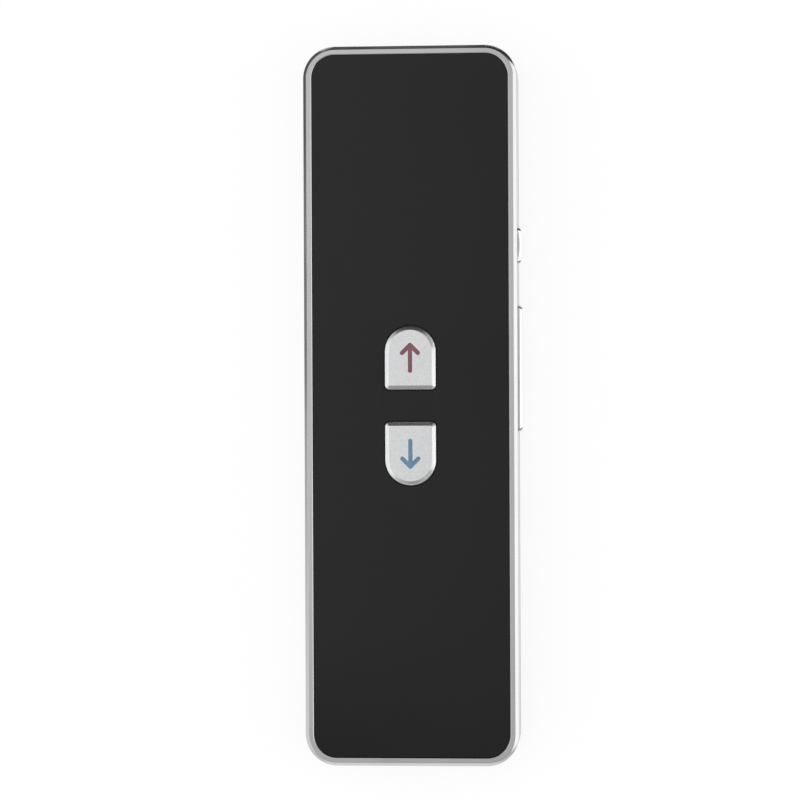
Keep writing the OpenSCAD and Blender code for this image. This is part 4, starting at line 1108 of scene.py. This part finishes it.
def screwTree():
    tree, entry = geometryTree("cornerScrews", [
        ("Spacing X", "Float", 0.03), ("Spacing Y", "Float", 0.1), ("Screw", "Object"),
        ("Seed", "Int", 1),
    ])
    grid = nodeOut(tree, "GeometryNodeMeshGrid", {
        "Vertices X": 2, "Vertices Y": 2, "Size X": entry["Spacing X"], "Size Y": entry["Spacing Y"],
    })
    one = nodeOut(tree, "GeometryNodeObjectInfo", {"Object": entry["Screw"]}, "Geometry")
    turn = nodeOut(tree, "FunctionNodeRandomValue", {
        "Max": (0, 0, 2 * math.pi), "Seed": entry["Seed"],
    }, "Value", data_type="FLOAT_VECTOR")
    screws = nodeOut(tree, "GeometryNodeInstanceOnPoints", {
        "Points": grid, "Instance": one, "Rotation": turn,
    })
    return endGeometry(tree, screws, entry)


def oneScrew(look):
    # turned from a profile of (radius, height), then a cross recess is cut in its head
    low, head, shaft, tip = look["sink"], look["headRadius"], look["shaftRadius"], look["tip"]
    high, chamfer = low + look["headHeight"], look["headChamfer"]
    profile = roundCorners([
        (look["axis"], low, 0), (head - chamfer, low, 0.1), (head, low + chamfer, 0.1),
        (head, high, 0.04), (shaft, high, 0.06), (shaft, tip - look["tipTaper"], 0.1),
        (look["tipRadius"], tip, 0), (look["axis"], tip, 0),
    ])
    piece = stackLoops("screw", [atHeight(circlePoints(0, 0, r, steps=48), z) for r, z in profile])
    reach, wide, deep = look["recess"]
    above, bottom = look["recessShares"]
    kept, lost = look["recessThins"]
    cutters = []
    for turned in (False, True):
        wing = []
        for z, share in ((low - joining["bite"], above), (low + deep, bottom)):
            long, thin = reach * share, wide / 2 * (kept + lost * share)
            ring = [(long, thin), (-long, thin), (-long, -thin), (long, -thin)]
            if turned:
                ring = [(-y, x) for x, y in ring]
            wing.append(atHeight(ring, z))
        cutters.append(stackLoops("wing", wing))
    joinSolids(piece, cutters)

    def recessRim(a, b):
        within = max(a.xy.length, b.xy.length) < look["recessRim"]
        return within and max(a.z, b.z) < low + joining["touch"]
    bevelWhere(piece, recessRim, look["recessBevel"])
    return piece


def buildScrews(look):
    screw = oneScrew(look)
    x, y = body["screws"]
    piece = runTree("rearScrews", screwTree(), "steel", {"Spacing X": 2 * x, "Spacing Y": 2 * y},
                    {"Screw": screw, "Seed": look["seed"]})
    bpy.data.objects.remove(screw)
    dress(piece, "steel", housing, "rear_screws")


buildScrews(screwLook)
print("rear screws: done")


# charging socket: rounded copies of what shows in the slot

socketLook = {"shellEdge": 0.05, "tongueEdge": 0.06}


def softenedCopy(name, node, slot, width):
    piece = addObject(name, frame["nodes"][node].data.copy())
    editMesh(piece, mergeAndTurnOut)
    bevelWhere(piece, lambda a, b: True, width)
    dress(piece, slot, housing, node)


softenedCopy("socketShell", "socket_shell", "steel", socketLook["shellEdge"])
softenedCopy("socketTongue", "socket_tongue", "socket_black", socketLook["tongueEdge"])
print("charging socket: done")


# floor, light and camera

floorLook = {"reach": 900, "shaded": 0.85, "seen": 0.2, "glow": 0.875}


def buildFloor(look):
    # white to the camera and still shaded under the object; clear from below and in reflections
    far, shaded, seen = look["reach"], look["shaded"], look["seen"]
    corners = [(-far, -far, 0), (far, -far, 0), (far, far, 0), (-far, far, 0)]
    floor = meshFrom("floor", corners, [(0, 1, 2, 3)])
    material = bpy.data.materials.new("paperFloor")
    tree = emptyTree(material)
    rays = addNode(tree, "ShaderNodeLightPath").outputs
    camera = rays["Is Camera Ray"]
    tone = mixColour(tree, camera, (shaded, shaded, shaded), (seen, seen, seen))
    matt = nodeOut(tree, "ShaderNodeBsdfDiffuse", {"Color": tone})
    strength = mathNode(tree, "MULTIPLY", camera, look["glow"])
    glow = nodeOut(tree, "ShaderNodeEmission", {"Strength": strength})
    paper = nodeOut(tree, "ShaderNodeAddShader", {0: matt, 1: glow})
    back = nodeOut(tree, "ShaderNodeNewGeometry", output="Backfacing")
    clear = mathNode(tree, "MAXIMUM", back, rays["Is Glossy Ray"])
    pick = nodeOut(tree, "ShaderNodeMixShader", {
        "Fac": clear, 1: paper, 2: nodeOut(tree, "ShaderNodeBsdfTransparent"),
    })
    addNode(tree, "ShaderNodeOutputMaterial", {"Surface": pick})
    floor.data.materials.append(material)


studio = {
    "overhead": 0.94,
    # near straight up the ceiling gets brighter to one side, by this share either way
    "tilt": {"towards": (-0.98, 0.2, 0), "from": -0.02, "to": 0.17, "share": 0.21},
    # cards round the object: where each stands, its reach and blur in degrees, its squash and its
    # light; a card with a squash above 1 is as many times wider than it is high
    "cards": (
        ((-0.08, -0.5, 1), 21.1, 1.2, 1, 0.69),
        ((0, 0, -1), 144, 14, 1, 0.66),
        ((0, 0, -1), 88, 5, 1, 1.05),
        ((0, -1, 0.45), 20, 8, 2, 0.25),
        ((-0.07, -1, -0.11), 24, 4, 3.2, 1.3),
        ((-1, -0.1, 0.25), 36, 10, 1, 1.25),
        ((1, 0, 0.35), 40, 8, 1, 0.4),
        ((1, 0, -0.02), 40, 6, 4, 1.95),
        ((0, 1, 0.1), 39, 8, 2.5, 0.04),
        ((0.62, 0.78, -0.07), 20, 4, 3.2, 0.05),
        ((-0.85, 0.5, -0.12), 28.5, 3, 4.5, 0.15),
        ((0.78, 0.55, -0.3), 15, 3, 1, 0.02),
        ((0.78, -0.55, -0.3), 13, 3, 1, 0.3),
    ),
}


def buildWorld(look):
    # white to the camera and through clear plastic; metal and gloss see light and dark cards
    world = bpy.data.worlds.new("studio")
    bpy.context.scene.world = world
    tree = emptyTree(world)
    direction = nodeOut(tree, "ShaderNodeTexCoord", output="Generated")
    overhead, tilt = look["overhead"], look["tilt"]
    aside = vectorMath(tree, "DOT_PRODUCT", "Value", direction, tilt["towards"])
    light = stretchValue(tree, aside, tilt["from"], tilt["to"],
                         overhead * (1 - tilt["share"]), overhead * (1 + tilt["share"]))
    for towards, reach, blur, squash, glow in look["cards"]:
        scale = Vector((1, 1, squash))
        unit = vectorMath(tree, "NORMALIZE", 0, vectorMath(tree, "MULTIPLY", 0, direction, scale))
        middle = (Vector(towards) * scale).normalized()
        near = vectorMath(tree, "DOT_PRODUCT", "Value", unit, middle)
        ends = [math.cos(math.radians(angle)) for angle in (reach + blur, reach - blur)]
        mask = stretchValue(tree, near, *ends, interpolation_type="SMOOTHSTEP")
        light = nodeOut(tree, "ShaderNodeMix", {"Factor": mask, "A": light, "B": glow}, "Result",
                        data_type="FLOAT")
    room = nodeOut(tree, "ShaderNodeBackground", {"Strength": light})
    white = nodeOut(tree, "ShaderNodeBackground", {"Color": (1, 1, 1, 1)})
    rays = addNode(tree, "ShaderNodeLightPath").outputs
    plain = mathNode(tree, "MAXIMUM", rays["Is Camera Ray"], rays["Is Transmission Ray"])
    pick = nodeOut(tree, "ShaderNodeMixShader", {"Fac": plain, 1: room, 2: white})
    addNode(tree, "ShaderNodeOutputWorld", {"Surface": pick})


lampLook = {"place": (0.7, -0.1, 0.5), "size": (0.6, 0.9), "watts": 1.1}


def buildLamp(name, look):
    lamp = bpy.data.lights.new(name, "AREA")
    lamp.shape = "RECTANGLE"
    lamp.size, lamp.size_y = look["size"]
    lamp.energy = look["watts"]
    holder = addObject(name, lamp)
    holder.location = look["place"]
    holder.rotation_euler = (-Vector(look["place"])).to_track_quat("-Z", "Y").to_euler()


cameraLook = {
    "place": (0.04594, 0.00093, 0.61303),
    "turns": (("Y", 4.557), ("X", 0.019), ("Z", -0.246)),
    "lens": 139.95,
    "sensor": 36,
    "clipStart": 0.01,
}


def buildCamera(look):
    camera = bpy.data.cameras.new("camera")
    camera.lens = look["lens"]
    camera.sensor_width = look["sensor"]
    camera.clip_start = look["clipStart"]
    holder = addObject("camera", camera)
    turn = Matrix.Identity(4)
    for axis, angle in look["turns"]:
        turn = turn @ Matrix.Rotation(math.radians(angle), 4, axis)
    holder.matrix_world = Matrix.Translation(look["place"]) @ turn
    bpy.context.scene.camera = holder


buildFloor(floorLook)
buildWorld(studio)
buildLamp("softBoxRight", lampLook)
buildCamera(cameraLook)
bpy.context.scene.view_settings.view_transform = "Standard"
print("stage: done")
